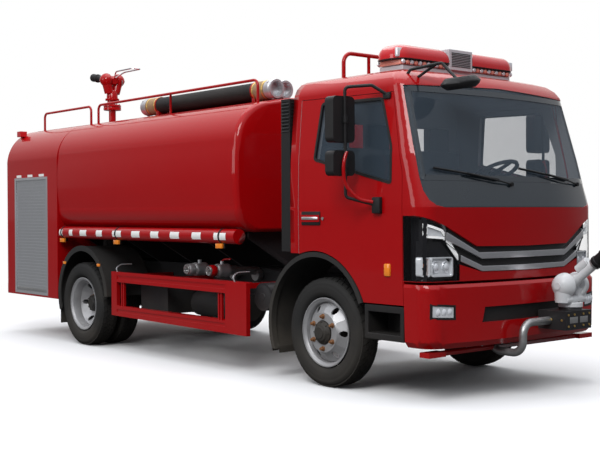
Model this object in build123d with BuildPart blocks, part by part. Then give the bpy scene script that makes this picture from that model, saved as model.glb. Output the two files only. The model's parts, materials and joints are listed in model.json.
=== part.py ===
from build123d import *
import math
import os

# Water tank fire truck, millimetres. It stands on z = 0, its nose points along -Y, its left side is +X.
# Places along the truck are measured back from the front axle and turned into Y by y().
wheelbase = 3950
front_axle_y = -2015
tyre_radius = 465
axle_z = tyre_radius

# Body sizes shared by several pieces
rail_outer_x = 425
rail_bottom_z = 640
rail_top_z = 860
cab_rear = 360
cab_floor_z = 1190
cab_skin = 45
door_skin = 60
front_face = -995
body_half_width = 1200
tank_front = 1000
tank_rear = 4465
box_front = 4470
box_rear = 5803
arch_centre = (50, 520)
arch_radius = 630
rear_arch_centre = (3905, 560)


def y(back):
    return front_axle_y + back


# Forms used again and again inside the parts

def block(xs, ys, zs, mode=Mode.ADD):
    # a box between two limits on each axis
    with Locations(((xs[0] + xs[1]) / 2, y((ys[0] + ys[1]) / 2), (zs[0] + zs[1]) / 2)):
        Box(xs[1] - xs[0], ys[1] - ys[0], zs[1] - zs[0], mode=mode)


def rod(start, end, radius, mode=Mode.ADD):
    # a straight round bar between two points
    first = Vector(start[0], y(start[1]), start[2])
    last = Vector(end[0], y(end[1]), end[2])
    with BuildSketch(Plane(origin=first, z_dir=last - first)) as section:
        Circle(radius)
    extrude(section.sketch, amount=(last - first).length, mode=mode)


def tube(points, radius, bend, mode=Mode.ADD):
    # a round bar along straight runs with bent corners
    with BuildLine() as path:
        FilletPolyline(*[(px, y(py), pz) for px, py, pz in points], radius=bend)
    route = path.wire()
    with BuildSketch(Plane(origin=route @ 0, z_dir=route % 0)) as section:
        Circle(radius)
    sweep(section.sketch, path=route, mode=mode)


def side_plate(outline, xs, mode=Mode.ADD, corner=0, grown=0):
    # an outline of (back, height) pairs seen from the side, thick from xs[0] to xs[1]
    with BuildSketch(Plane.YZ.offset(xs[0])) as face:
        with BuildLine():
            Polyline(*[(y(b), z) for b, z in outline], close=True)
        make_face()
        if corner:
            fillet(face.vertices(), corner)
        if grown:
            offset(amount=grown, kind=Kind.INTERSECTION)
    extrude(face.sketch, amount=xs[1] - xs[0], mode=mode)


def front_plate(outline, ys, mode=Mode.ADD, corner=0):
    # an outline of (x, height) pairs seen from the front, thick from ys[1] at its back to ys[0]
    with BuildSketch(Plane(origin=(0, y(ys[1]), 0), x_dir=(1, 0, 0), z_dir=(0, -1, 0))) as face:
        with BuildLine():
            Polyline(*outline, close=True)
        make_face()
        if corner:
            fillet(face.vertices(), corner)
    extrude(face.sketch, amount=ys[1] - ys[0], mode=mode)


def front_plates(outlines, ys, mode=Mode.ADD):
    # several outlines that don't touch, as front_plate makes one
    with BuildSketch(Plane(origin=(0, y(ys[1]), 0), x_dir=(1, 0, 0), z_dir=(0, -1, 0))) as face:
        for outline in outlines:
            with BuildLine():
                Polyline(*outline, close=True)
            make_face()
    extrude(face.sketch, amount=ys[1] - ys[0], mode=mode)


def both_sides(half):
    # a right-hand half outline from the middle out, and its mirror image
    return half + [(-px, pz) for px, pz in reversed(half) if px]


def arch_band(centre, radii, xs, angles, mode=Mode.ADD):
    # part of a ring seen from the side; angles are degrees from the rear, counted upwards
    first, last = (math.radians(a) for a in angles)
    middle = (first + last) / 2

    def on_ring(radius, angle):
        return (y(centre[0]) + radius * math.cos(angle), centre[1] + radius * math.sin(angle))

    inner, outer = radii
    with BuildSketch(Plane.YZ.offset(xs[0])) as face:
        with BuildLine():
            ThreePointArc(on_ring(outer, first), on_ring(outer, middle), on_ring(outer, last))
            Line(on_ring(outer, last), on_ring(inner, last))
            ThreePointArc(on_ring(inner, last), on_ring(inner, middle), on_ring(inner, first))
            Line(on_ring(inner, first), on_ring(outer, first))
        make_face()
    extrude(face.sketch, amount=xs[1] - xs[0], mode=mode)


def turned(profile, back, mode=Mode.ADD):
    # a closed profile of (x, radius) pairs turned about the wheel axis, which lies along X
    wheel_axis = Axis((0, y(back), axle_z), (1, 0, 0))
    with BuildSketch(Plane(origin=(0, y(back), axle_z), x_dir=(1, 0, 0), z_dir=(0, -1, 0))) as face:
        with BuildLine():
            Polyline(*profile, close=True)
        make_face()
    revolve(face.sketch, axis=wheel_axis, mode=mode)


# The cab's outside is one stack of sections, and every panel of it is cut from that stack.
# columns: height, half width, front at the middle, corner radius, share of the inset that lowers it
cab_levels = (
    (757, 1075, -1325, 150, 0),
    (1000, 1085, -1335, 150, 0),
    (1520, 1090, -1330, 150, 0),
    (1930, 1082, -1212, 140, 0),
    (2490, 1035, -1050, 120, 0.3),
    (2545, 1008, -1008, 115, 0.5),
    (2590, 958, -945, 110, 0.8),
    (2617, 895, -860, 105, 1),
    (2630, 815, -755, 100, 1),
)
# the same columns for the bumper
bumper_levels = (
    (435, 1040, -1335, 150, 0),
    (480, 1075, -1368, 150, 0),
    (900, 1088, -1368, 150, 0),
    (925, 1080, -1350, 150, 0),
)
nose_radius = 5000


def section_at(level, inset, rear):
    height, half, nose, corner, lowered = level
    corner_x = half - corner
    reach = math.sqrt((nose_radius - corner) ** 2 - corner_x ** 2)
    corner_y = y(nose) + nose_radius - reach
    lean = math.atan2(corner_x, reach)
    side_x = half - inset
    small = corner - inset
    inner_nose = nose_radius - inset
    tangent = (inner_nose * math.sin(lean), y(nose) + nose_radius - inner_nose * math.cos(lean))
    half_way = math.pi / 4 - lean / 2
    mid = (corner_x + small * math.cos(half_way), corner_y - small * math.sin(half_way))
    back_y = y(rear) - inset
    with BuildSketch(Plane.XY.offset(height - lowered * inset)) as face:
        with BuildLine():
            Line((side_x, back_y), (side_x, corner_y))
            ThreePointArc((side_x, corner_y), mid, tangent)
            ThreePointArc(tangent, (0, y(nose) + inset), (-tangent[0], tangent[1]))
            ThreePointArc((-tangent[0], tangent[1]), (-mid[0], mid[1]), (-side_x, corner_y))
            Line((-side_x, corner_y), (-side_x, back_y))
            Line((-side_x, back_y), (side_x, back_y))
        make_face()
    return face.sketch


def stack(levels, inset, mode=Mode.ADD, rear=cab_rear):
    loft([section_at(level, inset, rear).faces()[0] for level in levels], ruled=True, mode=mode)


def skin(levels, outer, inner, rear=cab_rear):
    # the stack's wall between two insets
    stack(levels, outer, rear=rear)
    stack(levels, inner, mode=Mode.SUBTRACT, rear=rear)


# Outlines on the cab, seen from the front as (x, height) of one half
glass_split_z = 1720
front_low_z = 945
front_top_z = 1515
screen_half = [
    (0, front_top_z),
    (885, front_top_z),
    (965, 1532),
    (1015, 1572),
    (1040, 1645),
    (1045, 1760),
    (1038, 2000),
    (1010, 2470),
    (0, 2500),
]
grille_half = [
    (0, 1008),
    (531, 1013),
    (756, 1075),
    (756, 1165),
    (886, 1250),
    (886, 1374),
    (576, 1213),
    (0, 1205),
]
upper_bar_half = [(0, 1114), (530, 1114), (876, 1262), (876, 1325), (556, 1164), (0, 1163)]
lower_bar_half = [(0, 1012), (531, 1017), (746, 1098), (746, 1148), (520, 1057), (0, 1055)]
lamp_outline = [(1150, 950), (756, 950), (756, 1165), (886, 1250), (886, 1374), (1056, 1440), (1150, 1475)]
fog_outline = [(835, 662), (1035, 672), (1035, 778), (835, 762)]
slot_outline = [(-560, 620), (560, 620), (530, 740), (-530, 740)]
# Outlines on its side, as (back, height)
door_outline = [(-985, 757), (250, 757), (250, 2440), (-850, 2420), (-985, 1780)]
window_outline = [(-865, 1705), (50, 1925), (-15, 2395), (-735, 2380), (-865, 1990)]


def mirrored_x(outline):
    return [(-px, pz) for px, pz in outline]


os.makedirs("parts", exist_ok=True)

# Chassis: two channel rails, their crossmembers, cab mounts, and the saddles that carry the tank
with BuildPart() as chassis_frame:
    block((rail_outer_x - 8, rail_outer_x), (-1275, 5700), (rail_bottom_z, rail_top_z))
    for z_low in (rail_bottom_z, rail_top_z - 8):
        block((rail_outer_x - 70, rail_outer_x), (-1275, 5700), (z_low, z_low + 8))
    for back in (-900, 250):
        block((rail_outer_x - 70, rail_outer_x), (back - 60, back + 60), (rail_top_z, cab_floor_z - 40))
    block((rail_outer_x - 70, rail_outer_x), (1050, 5700), (rail_top_z, 930))
    for back in (-760, 720, 3230, 4640):
        block((rail_outer_x - 60, rail_outer_x), (back - 45, back + 45), (590, rail_bottom_z))
    mirror(about=Plane.YZ)
    for back in (-1240, 640, 1290, 1940, 2590, 3240, 3950, 4600, 5250, 5650):
        block((8 - rail_outer_x, rail_outer_x - 8), (back - 45, back + 45), (680, 820))
    for back in (-690, -60):
        block((-rail_outer_x, rail_outer_x), (back - 45, back + 45), (590, rail_bottom_z))
    for back in (1150, 1930, 2820, 3500, 4400):
        saddle_half = [(0, 930), (rail_outer_x, 930), (950, 1240), (950, 1298), (0, 1298)]
        front_plate(both_sides(saddle_half), (back - 15, back + 15))
chassis_frame.part.label = "chassis_frame"
export_step(chassis_frame.part, "parts/chassis_frame.step")

# Engine and gearbox as one plain block between the rails
with BuildPart() as engine_block:
    block((-290, 290), (-620, 300), (650, 1110))
    block((-200, 200), (300, 585), (600, 900))
engine_block.part.label = "engine_block"
export_step(engine_block.part, "parts/engine_block.step")

# Front axle: dropped beam with an eye for each kingpin, on two leaf springs
kingpin_x = 785
spring_x = rail_outer_x - 35
with BuildPart() as front_axle:
    block((0, 560), (-40, 40), (350, 430))
    front_plate([(520, 350), (700, 410), (760, 410), (760, 520), (690, 520), (520, 430)], (-40, 40))
    with Locations((kingpin_x, y(0), axle_z)):
        Cylinder(45, 130)
    block((spring_x - 50, spring_x + 50), (-80, 80), (430, 460))
    with BuildSketch(Plane.YZ.offset(spring_x - 35)) as leaf:
        with BuildLine():
            ThreePointArc((y(-760), 590), (y(0), 500), (y(720), 590))
            Line((y(720), 590), (y(720), 560))
            ThreePointArc((y(720), 560), (y(0), 458), (y(-760), 560))
            Line((y(-760), 560), (y(-760), 590))
        make_face()
    extrude(leaf.sketch, amount=70)
    mirror(about=Plane.YZ)
front_axle.part.label = "front_axle"
export_step(front_axle.part, "parts/front_axle.step")

# Rear axle: round beam and differential, leaf springs, and the shaft from the gearbox
with BuildPart() as rear_axle:
    rod((120, wheelbase, axle_z), (690, wheelbase, axle_z), 70)
    rod((690, wheelbase, axle_z), (895, wheelbase, axle_z), 50)
    with BuildSketch(Plane.YZ.offset(spring_x - 35)) as leaf:
        with BuildLine():
            ThreePointArc((y(3230), 590), (y(wheelbase), 565), (y(4640), 590))
            Line((y(4640), 590), (y(4640), 560))
            ThreePointArc((y(4640), 560), (y(wheelbase), 500), (y(3230), 560))
            Line((y(3230), 560), (y(3230), 590))
        make_face()
    extrude(leaf.sketch, amount=70)
    mirror(about=Plane.YZ)
    rod((-150, wheelbase, axle_z), (150, wheelbase, axle_z), 185)
    rod((0, 590, 620), (0, wheelbase - 100, 500), 42)
rear_axle.part.label = "rear_axle"
export_step(rear_axle.part, "parts/rear_axle.step")

# Cab: hollow shell with openings for the doors, the windscreen and the rear window
rear_window_x = 620
rear_window_z = (1820, 2280)
with BuildPart() as cab_shell:
    skin(cab_levels, 0, cab_skin)
    block((-1060, 1060), (-1300, cab_rear - 20), (cab_floor_z - 40, cab_floor_z))
    block((-1040, 1040), (front_face, front_face + 35), (900, 1540))
    block((-1200, 1200), (-1500, front_face), (700, front_top_z), mode=Mode.SUBTRACT)
    block((-1200, 1200), (arch_centre[0], cab_rear + 20), (700, 1130), mode=Mode.SUBTRACT)
    front_plate(both_sides(screen_half), (-1450, -880), mode=Mode.SUBTRACT)
    block((-rear_window_x, rear_window_x), (cab_rear - 80, cab_rear + 20), rear_window_z, mode=Mode.SUBTRACT)
    for xs in ((-1300, -970), (970, 1300)):
        side_plate(door_outline, xs, grown=5, mode=Mode.SUBTRACT)
    rod((-1200, *arch_centre), (1200, *arch_centre), arch_radius, mode=Mode.SUBTRACT)
cab_shell.part.label = "cab_shell"
export_step(cab_shell.part, "parts/cab_shell.step")

# Hood above the grille and the painted strip below it
with BuildPart() as front_panel:
    skin(cab_levels, 0, 30)
    block((-1200, 1200), (front_face, cab_rear + 20), (700, 2700), mode=Mode.SUBTRACT)
    block((-1200, 1200), (-1500, front_face), (front_top_z, 2700), mode=Mode.SUBTRACT)
    block((-1200, 1200), (-1500, front_face), (700, front_low_z), mode=Mode.SUBTRACT)
    front_plate(both_sides(grille_half), (-1500, front_face), mode=Mode.SUBTRACT)
    for outline in (lamp_outline, mirrored_x(lamp_outline)):
        front_plate(outline, (-1500, front_face), mode=Mode.SUBTRACT)
front_panel.part.label = "front_panel"
export_step(front_panel.part, "parts/front_panel.step")

# Grille: a dark screen with two bright bars that rise towards the lamps
with BuildPart() as grille_screen:
    skin(cab_levels, 22, 40)
    front_plate(both_sides(grille_half), (-1500, front_face), mode=Mode.INTERSECT)
grille_screen.part.label = "grille_screen"
export_step(grille_screen.part, "parts/grille_screen.step")

with BuildPart() as grille_bars:
    skin(cab_levels, -6, 22)
    bars = [both_sides(upper_bar_half), both_sides(lower_bar_half)]
    front_plates(bars, (-1500, front_face), mode=Mode.INTERSECT)
grille_bars.part.label = "grille_bars"
export_step(grille_bars.part, "parts/grille_bars.step")

# Headlamps wrap the corners; the fog lamps sit in the bumper
with BuildPart() as headlamps:
    skin(cab_levels, 0, 90)
    front_plates([lamp_outline, mirrored_x(lamp_outline)], (-1500, front_face), mode=Mode.INTERSECT)
with BuildPart() as fog_lamps:
    skin(bumper_levels, 12, 58, rear=-1000)
    front_plates([fog_outline, mirrored_x(fog_outline)], (-1500, -1100), mode=Mode.INTERSECT)
with BuildPart() as front_lamps:
    add(headlamps.part)
    add(fog_lamps.part)
front_lamps.part.label = "front_lamps"
export_step(front_lamps.part, "parts/front_lamps.step")

# Glass and the dark panel under the windscreen
with BuildPart() as cab_glass:
    skin(cab_levels, 8, 14)
    front_plate(both_sides(screen_half), (-1450, -880), mode=Mode.INTERSECT)
    block((-1200, 1200), (-1500, -800), (1400, glass_split_z), mode=Mode.SUBTRACT)
    block((-rear_window_x, rear_window_x), (cab_rear - 25, cab_rear - 19), rear_window_z)
cab_glass.part.label = "cab_glass"
export_step(cab_glass.part, "parts/cab_glass.step")

with BuildPart() as cowl_panel:
    skin(cab_levels, 2, 24)
    front_plate(both_sides(screen_half), (-1450, -880), mode=Mode.INTERSECT)
    block((-1200, 1200), (-1500, -800), (glass_split_z, 2700), mode=Mode.SUBTRACT)
cowl_panel.part.label = "cowl_panel"
export_step(cowl_panel.part, "parts/cowl_panel.step")

# Bumper wraps round to the doors
with BuildPart() as front_bumper:
    skin(bumper_levels, 0, 60, rear=cab_rear)
    block((-1200, 1200), (-1000, cab_rear + 20), (400, 1000), mode=Mode.SUBTRACT)
    openings = [fog_outline, mirrored_x(fog_outline), slot_outline]
    front_plates(openings, (-1500, -1000), mode=Mode.SUBTRACT)
front_bumper.part.label = "front_bumper"
export_step(front_bumper.part, "parts/front_bumper.step")

with BuildPart() as bumper_grille:
    skin(bumper_levels, 24, 56, rear=-1000)
    front_plate(slot_outline, (-1500, -1100), mode=Mode.INTERSECT)
bumper_grille.part.label = "bumper_grille"
export_step(bumper_grille.part, "parts/bumper_grille.step")

# Steps under the doors
step_back = (-985, -550)
with BuildPart() as cab_steps:
    block((800, 1072), step_back, (470, 745))
    block((840, 1100), (step_back[0] + 40, step_back[1] - 40), (520, 690), mode=Mode.SUBTRACT)
    mirror(about=Plane.YZ)
cab_steps.part.label = "cab_steps"
export_step(cab_steps.part, "parts/cab_steps.step")

# Inside the cab: dashboard, steering wheel, driver's seat on the left and a bench for two
seat_places = ((600, 520), (-450, 1000))
with BuildPart() as cab_interior:
    block((-940, 940), (-955, -660), (1300, 1600))
    block((-860, 860), (-1120, -660), (1560, 1680))
    rod((560, -680, 1560), (560, -560, 1800), 30)
    with BuildSketch(Plane(origin=(560, y(-550), 1820), z_dir=(0, 120, 240))) as wheel_face:
        Circle(225)
        Circle(195, mode=Mode.SUBTRACT)
        Rectangle(400, 30)
        Circle(60)
    extrude(wheel_face.sketch, amount=25)
    for middle, width in seat_places:
        block((middle - width / 2, middle + width / 2), (-330, 140), (cab_floor_z, 1570))
        block((middle - width / 2, middle + width / 2), (140, 270), (1500, 2050))
    for middle in (600, -700, -200):
        block((middle - 130, middle + 130), (160, 250), (2050, 2270))
cab_interior.part.label = "cab_interior"
export_step(cab_interior.part, "parts/cab_interior.step")

# Light bar on the roof with its speaker in the middle
bar_back = (-640, -310)
bar_half = 750
speaker_half = 150
bar_round = 120
bar_profile = [(-640, 2745), (-310, 2745), (-330, 2815), (-385, 2868), (-565, 2868), (-620, 2815)]
with BuildPart() as light_bar_base:
    block((60 - bar_half, bar_half - 60), (bar_back[0] + 30, bar_back[1] - 30), (2650, 2690))
    for middle in (-520, 520):
        block((middle - 60, middle + 60), (-560, -390), (2630, 2650))
    block((-speaker_half, speaker_half), (bar_back[0] + 5, bar_back[1] - 5), (2690, 2868))
light_bar_base.part.label = "light_bar_base"
export_step(light_bar_base.part, "parts/light_bar_base.step")

with BuildPart() as light_bar_lenses:
    for xs in ((-bar_half, -speaker_half - 2), (speaker_half + 2, bar_half)):
        block(xs, bar_back, (2690, 2745))
        side_plate(bar_profile, xs)
    for side in (-1, 1):
        tip = light_bar_lenses.edges().filter_by(Axis.Z).sort_by(Axis.X)
        fillet(tip[:2] if side < 0 else tip[-2:], bar_round)
light_bar_lenses.part.label = "light_bar_lenses"
export_step(light_bar_lenses.part, "parts/light_bar_lenses.step")

# Mirror that shows the ground in front of the nose, on two arms from the roof's corner
dish = Plane(Location((-755, y(-1290), 2475), (0, -10, 0)))
# columns: height on the dish's axis, half length, half width
dish_rings = ((-50, 125, 95), (-25, 160, 128), (0, 175, 140), (42, 130, 100))
with BuildPart() as front_view_mirror:
    tube([(-930, -860, 2530), (-900, -900, 2600), (-780, -1120, 2640), (-765, -1275, 2490)], 12, 25)
    rod((-850, -930, 2540), (-800, -1085, 2633), 11)
    for height, length, width in dish_rings:
        with BuildSketch(dish.offset(height)):
            Ellipse(length, width)
    loft(ruled=True)
    stack(cab_levels, -1, mode=Mode.SUBTRACT)
front_view_mirror.part.label = "front_view_mirror"
export_step(front_view_mirror.part, "parts/front_view_mirror.step")

# Air intake behind the cab
with BuildPart() as snorkel:
    block((-1070, -910), (385, 505), (1140, 2470))
    for step in range(9):
        block((-1090, -1060), (400, 490), (2190 + 30 * step, 2205 + 30 * step), mode=Mode.SUBTRACT)
    for z_low in (1400, 2100):
        block((-1000, -960), (cab_rear, 385), (z_low, z_low + 60))
snorkel.part.label = "snorkel"
export_step(snorkel.part, "parts/snorkel.step")

# Tank: one closed body with a collar for the manhole
side_top_z = 2120
shoulder = (1080, 2390)
deck_edge = (800, 2525)
crown_z = 2600
tank_bottom_z = 1300
manhole_back = 2700
manhole_x = 120


def body_outline(bottom_z, inset=0):
    # the pump box's outline, closed, in the plane that faces the front
    side = body_half_width - inset
    edge_z = deck_edge[1] - inset
    Polyline((0, bottom_z), (side, bottom_z), (side, side_top_z))
    ThreePointArc((side, side_top_z), (shoulder[0] - inset, shoulder[1] - inset), (deck_edge[0], edge_z))
    ThreePointArc((deck_edge[0], edge_z), (deck_edge[0] / 2, crown_z - inset - 18), (0, crown_z - inset))
    mirror(about=Plane.YZ)


def front_view(back):
    return Plane(origin=(0, y(back), 0), x_dir=(1, 0, 0), z_dir=(0, -1, 0))


def tank_section(back, inset):
    # the tank's own outline: as the box's above, with a bowed side and round lower corners
    low_z = tank_bottom_z + inset
    side = 1188 - inset
    top_x, top_z = shoulder[0] - 2 - inset, shoulder[1] - 2 - inset
    edge_z = deck_edge[1] - inset
    with BuildSketch(front_view(back)) as face:
        with BuildLine():
            Line((0, low_z), (940, low_z))
            ThreePointArc((940, low_z), (1118 - inset, low_z + 70), (side - 6, 1550))
            ThreePointArc((side - 6, 1550), (side + 10, 1835), (side, side_top_z))
            ThreePointArc((side, side_top_z), (top_x, top_z), (deck_edge[0], edge_z))
            crown = (0, crown_z - inset)
            ThreePointArc((deck_edge[0], edge_z), (deck_edge[0] / 2, crown_z - 18 - inset), crown)
            mirror(about=Plane.YZ)
        make_face()
    return face.sketch


# the rounded front end, from the face backwards: distance behind the tank's face, inset
tank_end = ((0, 42), (10, 20), (30, 6), (60, 0))
with BuildPart() as water_tank:
    loft([tank_section(tank_front + behind, inset).faces()[0] for behind, inset in tank_end], ruled=True)
    extrude(tank_section(tank_rear, 0), amount=tank_rear - tank_front - tank_end[-1][0])
    rod((manhole_x, manhole_back, 2500), (manhole_x, manhole_back, 2660), 250)
water_tank.part.label = "water_tank"
export_step(water_tank.part, "parts/water_tank.step")

# Lid of the manhole, hinged at its rear edge
lid_hinge = (manhole_x, manhole_back + 275, 2680)
with BuildPart() as manhole_lid:
    rod((manhole_x, manhole_back, 2665), (manhole_x, manhole_back, 2695), 258)
    block((manhole_x - 40, manhole_x + 40), (manhole_back + 220, manhole_back + 290), (2665, 2695))
manhole_lid.part.label = "manhole_lid"
export_step(manhole_lid.part, "parts/manhole_lid.step")

# Box over the rear end that holds the pump, open where the shutters close it
wall = 40
box_bottom_z = 487
side_shutter_back = (4740, 5553)
side_shutter_z = (540, 1885)
rear_shutter_half = 470
rear_shutter_z = (640, 1885)
riser_back = 5270
with BuildPart() as pump_body:
    with BuildSketch(front_view(box_rear)):
        with BuildLine():
            body_outline(box_bottom_z)
        make_face()
    extrude(amount=box_rear - box_front)
    with BuildSketch(front_view(box_rear - wall)):
        with BuildLine():
            body_outline(box_bottom_z + wall, inset=wall)
        make_face()
    extrude(amount=box_rear - box_front - 2 * wall, mode=Mode.SUBTRACT)
    block((-1300, 1300), side_shutter_back, side_shutter_z, mode=Mode.SUBTRACT)
    rear_opening = (box_rear - 100, box_rear + 100)
    block((-rear_shutter_half, rear_shutter_half), rear_opening, rear_shutter_z, mode=Mode.SUBTRACT)
    block((-435, 435), (box_front - 20, box_front + 60), (530, 1000), mode=Mode.SUBTRACT)
    rod((0, riser_back, 2580), (0, riser_back, 2840), 45)
    rod((0, riser_back, 2805), (0, riser_back, 2840), 113)
pump_body.part.label = "pump_body"
export_step(pump_body.part, "parts/pump_body.step")

# Roller shutters, down in their openings
slat_count = 24
slat_pitch = 53
with BuildPart() as roller_shutters:
    block((body_half_width - 22, body_half_width - 8), side_shutter_back, side_shutter_z)
    for step in range(slat_count):
        low = side_shutter_z[0] + 60 + slat_pitch * step
        block((body_half_width - 12, body_half_width), side_shutter_back, (low, low + 6), mode=Mode.SUBTRACT)
    mirror(about=Plane.YZ)
    block((-rear_shutter_half, rear_shutter_half), (box_rear - 22, box_rear - 8), rear_shutter_z)
roller_shutters.part.label = "roller_shutters"
export_step(roller_shutters.part, "parts/roller_shutters.step")

# Tubes along the tank's lower edges, on brackets
side_tube_x = 1135
side_tube_z = 1262
with BuildPart() as side_tubes:
    rod((side_tube_x, 1040, side_tube_z), (side_tube_x, 4420, side_tube_z), 70)
    for back in (1500, 2700, 4150):
        block((860, 1120), (back - 30, back + 30), (1210, 1299))
    mirror(about=Plane.YZ)
side_tubes.part.label = "side_tubes"
export_step(side_tubes.part, "parts/side_tubes.step")

# Guards along both sides and the bar at the rear
guard_outer = [(900, 362), (3300, 385), (3300, 855), (900, 845)]
guard_window = [(1225, 480), (3190, 495), (3190, 745), (1225, 735)]
guard_x = (1120, 1165)
guard_posts = (1310, 1350, 3075, 3115)
for side, name in ((-1, "right"), (1, "left")):
    outer_x = sorted((side * guard_x[0], side * guard_x[1]))
    with BuildPart() as guard:
        side_plate(guard_outer, outer_x)
        side_plate(guard_window, (outer_x[0] - 20, outer_x[1] + 20), mode=Mode.SUBTRACT)
        for groove in ((425, 455), (775, 815)):
            # the rails are channels, open to the outside
            deep = sorted((side * (guard_x[1] - 8), side * (guard_x[1] + 20)))
            block(deep, (1225, 3190), groove, mode=Mode.SUBTRACT)
        for back in guard_posts:
            block(sorted((side * 1125, side * 1150)), (back - 10, back + 10), (470, 760))
        for back in (1180, 2475, 3240):
            block(sorted((side * rail_outer_x, side * guard_x[0])), (back - 25, back + 25), (770, 820))
    guard.part.label = f"underrun_guard_{name}"
    export_step(guard.part, f"parts/underrun_guard_{name}.step")

with BuildPart() as rear_bar:
    block((-1150, 1150), (box_rear + 40, box_rear + 110), (490, 600))
    for middle in (-500, 500):
        block((middle - 40, middle + 40), (box_rear, box_rear + 40), (500, 590))
rear_bar.part.label = "rear_bar"
export_step(rear_bar.part, "parts/rear_bar.step")

# Mudguards: inner arches and lips at the front, arches and flaps at the rear
with BuildPart() as mudguards:
    arch_band(arch_centre, (600, 612), (560, 1030), (-25, 158))
    arch_band(arch_centre, (585, 626), (1030, 1086), (-25, 158))
    block((700, 800), (0, 100), (1128, 1150))
    block((560, 1030), (585, 597), (235, 300))
    arch_band(rear_arch_centre, (545, 555), (640, 1185), (-20, 178))
    arch_band(rear_arch_centre, (500, 560), (1180, 1195), (-20, 178))
    block((660, 1180), (4425, 4437), (215, 410))
    block((800, 880), (rear_arch_centre[0] - 15, rear_arch_centre[0] + 65), (1105, 1300))
    mirror(about=Plane.YZ)
mudguards.part.label = "mudguards"
export_step(mudguards.part, "parts/mudguards.step")

# Rails on the roofs and the ladder at the rear
with BuildPart() as grab_rails:
    for first, last, posts in ((1080, 4060, (2555,)), (4230, 5400, ())):
        tube([(880, first, 2500), (880, first, 2720), (880, last, 2720), (880, last, 2500)], 14, 60)
        for back in posts:
            rod((880, back, 2500), (880, back, 2720), 12)
    rod((440, 50, 2630), (440, 50, 2860), 15)
    mirror(about=Plane.YZ)
    tube([(-740, 50, 2630), (-740, 50, 2860), (740, 50, 2860), (740, 50, 2630)], 18, 90)
    for px in (550, 950):
        ladder_side = [(px, box_rear, 760), (px, box_rear + 70, 760), (px, box_rear + 70, 2700)]
        tube(ladder_side + [(px, box_rear - 60, 2700), (px, box_rear - 60, 2440)], 16, 40)
    for step in range(8):
        rod((550, box_rear + 70, 850 + 230 * step), (950, box_rear + 70, 850 + 230 * step), 12)
    with BuildSketch(front_view(tank_front - 100)):
        with BuildLine():
            body_outline(tank_bottom_z)
        make_face()
    extrude(amount=tank_front - 100 - box_rear, mode=Mode.SUBTRACT)
    extrude(tank_section(tank_rear, 0), amount=tank_rear - tank_front, mode=Mode.SUBTRACT)
grab_rails.part.label = "grab_rails"
export_step(grab_rails.part, "parts/grab_rails.step")

# Lamps at the rear
with BuildPart() as tail_lamps:
    for middle in (-1060, 1060):
        block((middle - 90, middle + 90), (box_rear, box_rear + 35), (640, 740))
    for middle in (-1000, 1000):
        block((middle - 50, middle + 50), (box_rear, box_rear + 30), (2200, 2290))
        block((middle * 1.05 - 45, middle * 1.05 + 45), (5640, 5740), (2440, 2510))
        block((middle * 1.05 - 12, middle * 1.05 + 12), (5680, 5700), (2380, 2445))
    with BuildSketch(front_view(box_rear)):
        with BuildLine():
            body_outline(box_bottom_z)
        make_face()
    extrude(amount=box_rear - box_front, mode=Mode.SUBTRACT)
tail_lamps.part.label = "tail_lamps"
export_step(tail_lamps.part, "parts/tail_lamps.step")

# Two stiff suction hoses lying on the tank, with couplings at their ends
hose_radius = 85
with BuildPart() as suction_hoses:
    for px, pz, first, last in ((-640, 2655, 1090, 3400), (-400, 2675, 1250, 3560)):
        rod((px, first + 80, pz), (px, last - 80, pz), hose_radius)
        for start, end in ((first, first + 80), (last - 80, last)):
            rod((px, start, pz), (px, end, pz), hose_radius + 12)
            rod((px, start, pz), (px, end, pz), hose_radius - 15, mode=Mode.SUBTRACT)
        rod((px, first + 70, pz), (px, last - 70, pz), hose_radius)
        for back in (first + 300, last - 300):
            block((px - 60, px + 60), (back - 20, back + 20), (2540, pz - 60))
    extrude(tank_section(tank_rear, 0), amount=tank_rear - tank_front, mode=Mode.SUBTRACT)
suction_hoses.part.label = "suction_hoses"
export_step(suction_hoses.part, "parts/suction_hoses.step")

# Pipes: two outlets on the right side, the line to the front monitor and the flushing nozzles
outlet_backs = (1650, 2030)
outlet_z = 920
outlet_bore = 32.5
with BuildPart() as pipework:
    for back in outlet_backs:
        rod((-rail_outer_x, back, outlet_z - 60), (-rail_outer_x - 60, back, outlet_z - 60), 60)
        rod((-rail_outer_x - 20, back, outlet_z - 20), (-900, back, outlet_z), 40)
        rod((-820, back, outlet_z), (-960, back, outlet_z), 62)
        rod((-960, back, outlet_z), (-1050, back, outlet_z), 50)
        rod((-1000, back, outlet_z), (-1051, back, outlet_z), outlet_bore, mode=Mode.SUBTRACT)
    feed = [(100, -1470, 600), (-230, -1470, 600), (-230, -1470, 360), (-230, -1150, 360), (-230, -1150, 640)]
    tube(feed, 32, 100)
    for side in (-1, 1):
        rod((side * 400, -1180, 390), (side * 860, -1180, 390), 22)
        block(sorted((side * 860, side * 1050)), (-1230, -1130), (370, 410))
    rod((-400, -1180, 390), (400, -1180, 390), 22)
    for side in (-1, 1):
        rod((side * 390, -1180, 390), (side * 390, -1180, 640), 14)
pipework.part.label = "pipework"
export_step(pipework.part, "parts/pipework.step")

# Fuel tank on the left, air tanks and battery box on the right
with BuildPart() as underbody_tanks:
    block((520, 1040), (1400, 2450), (430, 880))
    block((rail_outer_x, 520), (1600, 1660), (660, 720))
    block((rail_outer_x, 520), (2200, 2260), (660, 720))
    rod((-1050, 800, 720), (-480, 800, 720), 127)
    block((-520, -rail_outer_x), (770, 830), (690, 750))
    rod((-720, 1400, 560), (-720, 2250, 560), 130)
    block((-640, -rail_outer_x), (1500, 1560), (640, 680))
    block((-640, -rail_outer_x), (2050, 2110), (640, 680))
    block((-980, -500), (2480, 3000), (440, 740))
    block((-500, -rail_outer_x), (2700, 2760), (650, 710))
underbody_tanks.part.label = "underbody_tanks"
export_step(underbody_tanks.part, "parts/underbody_tanks.step")

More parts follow.
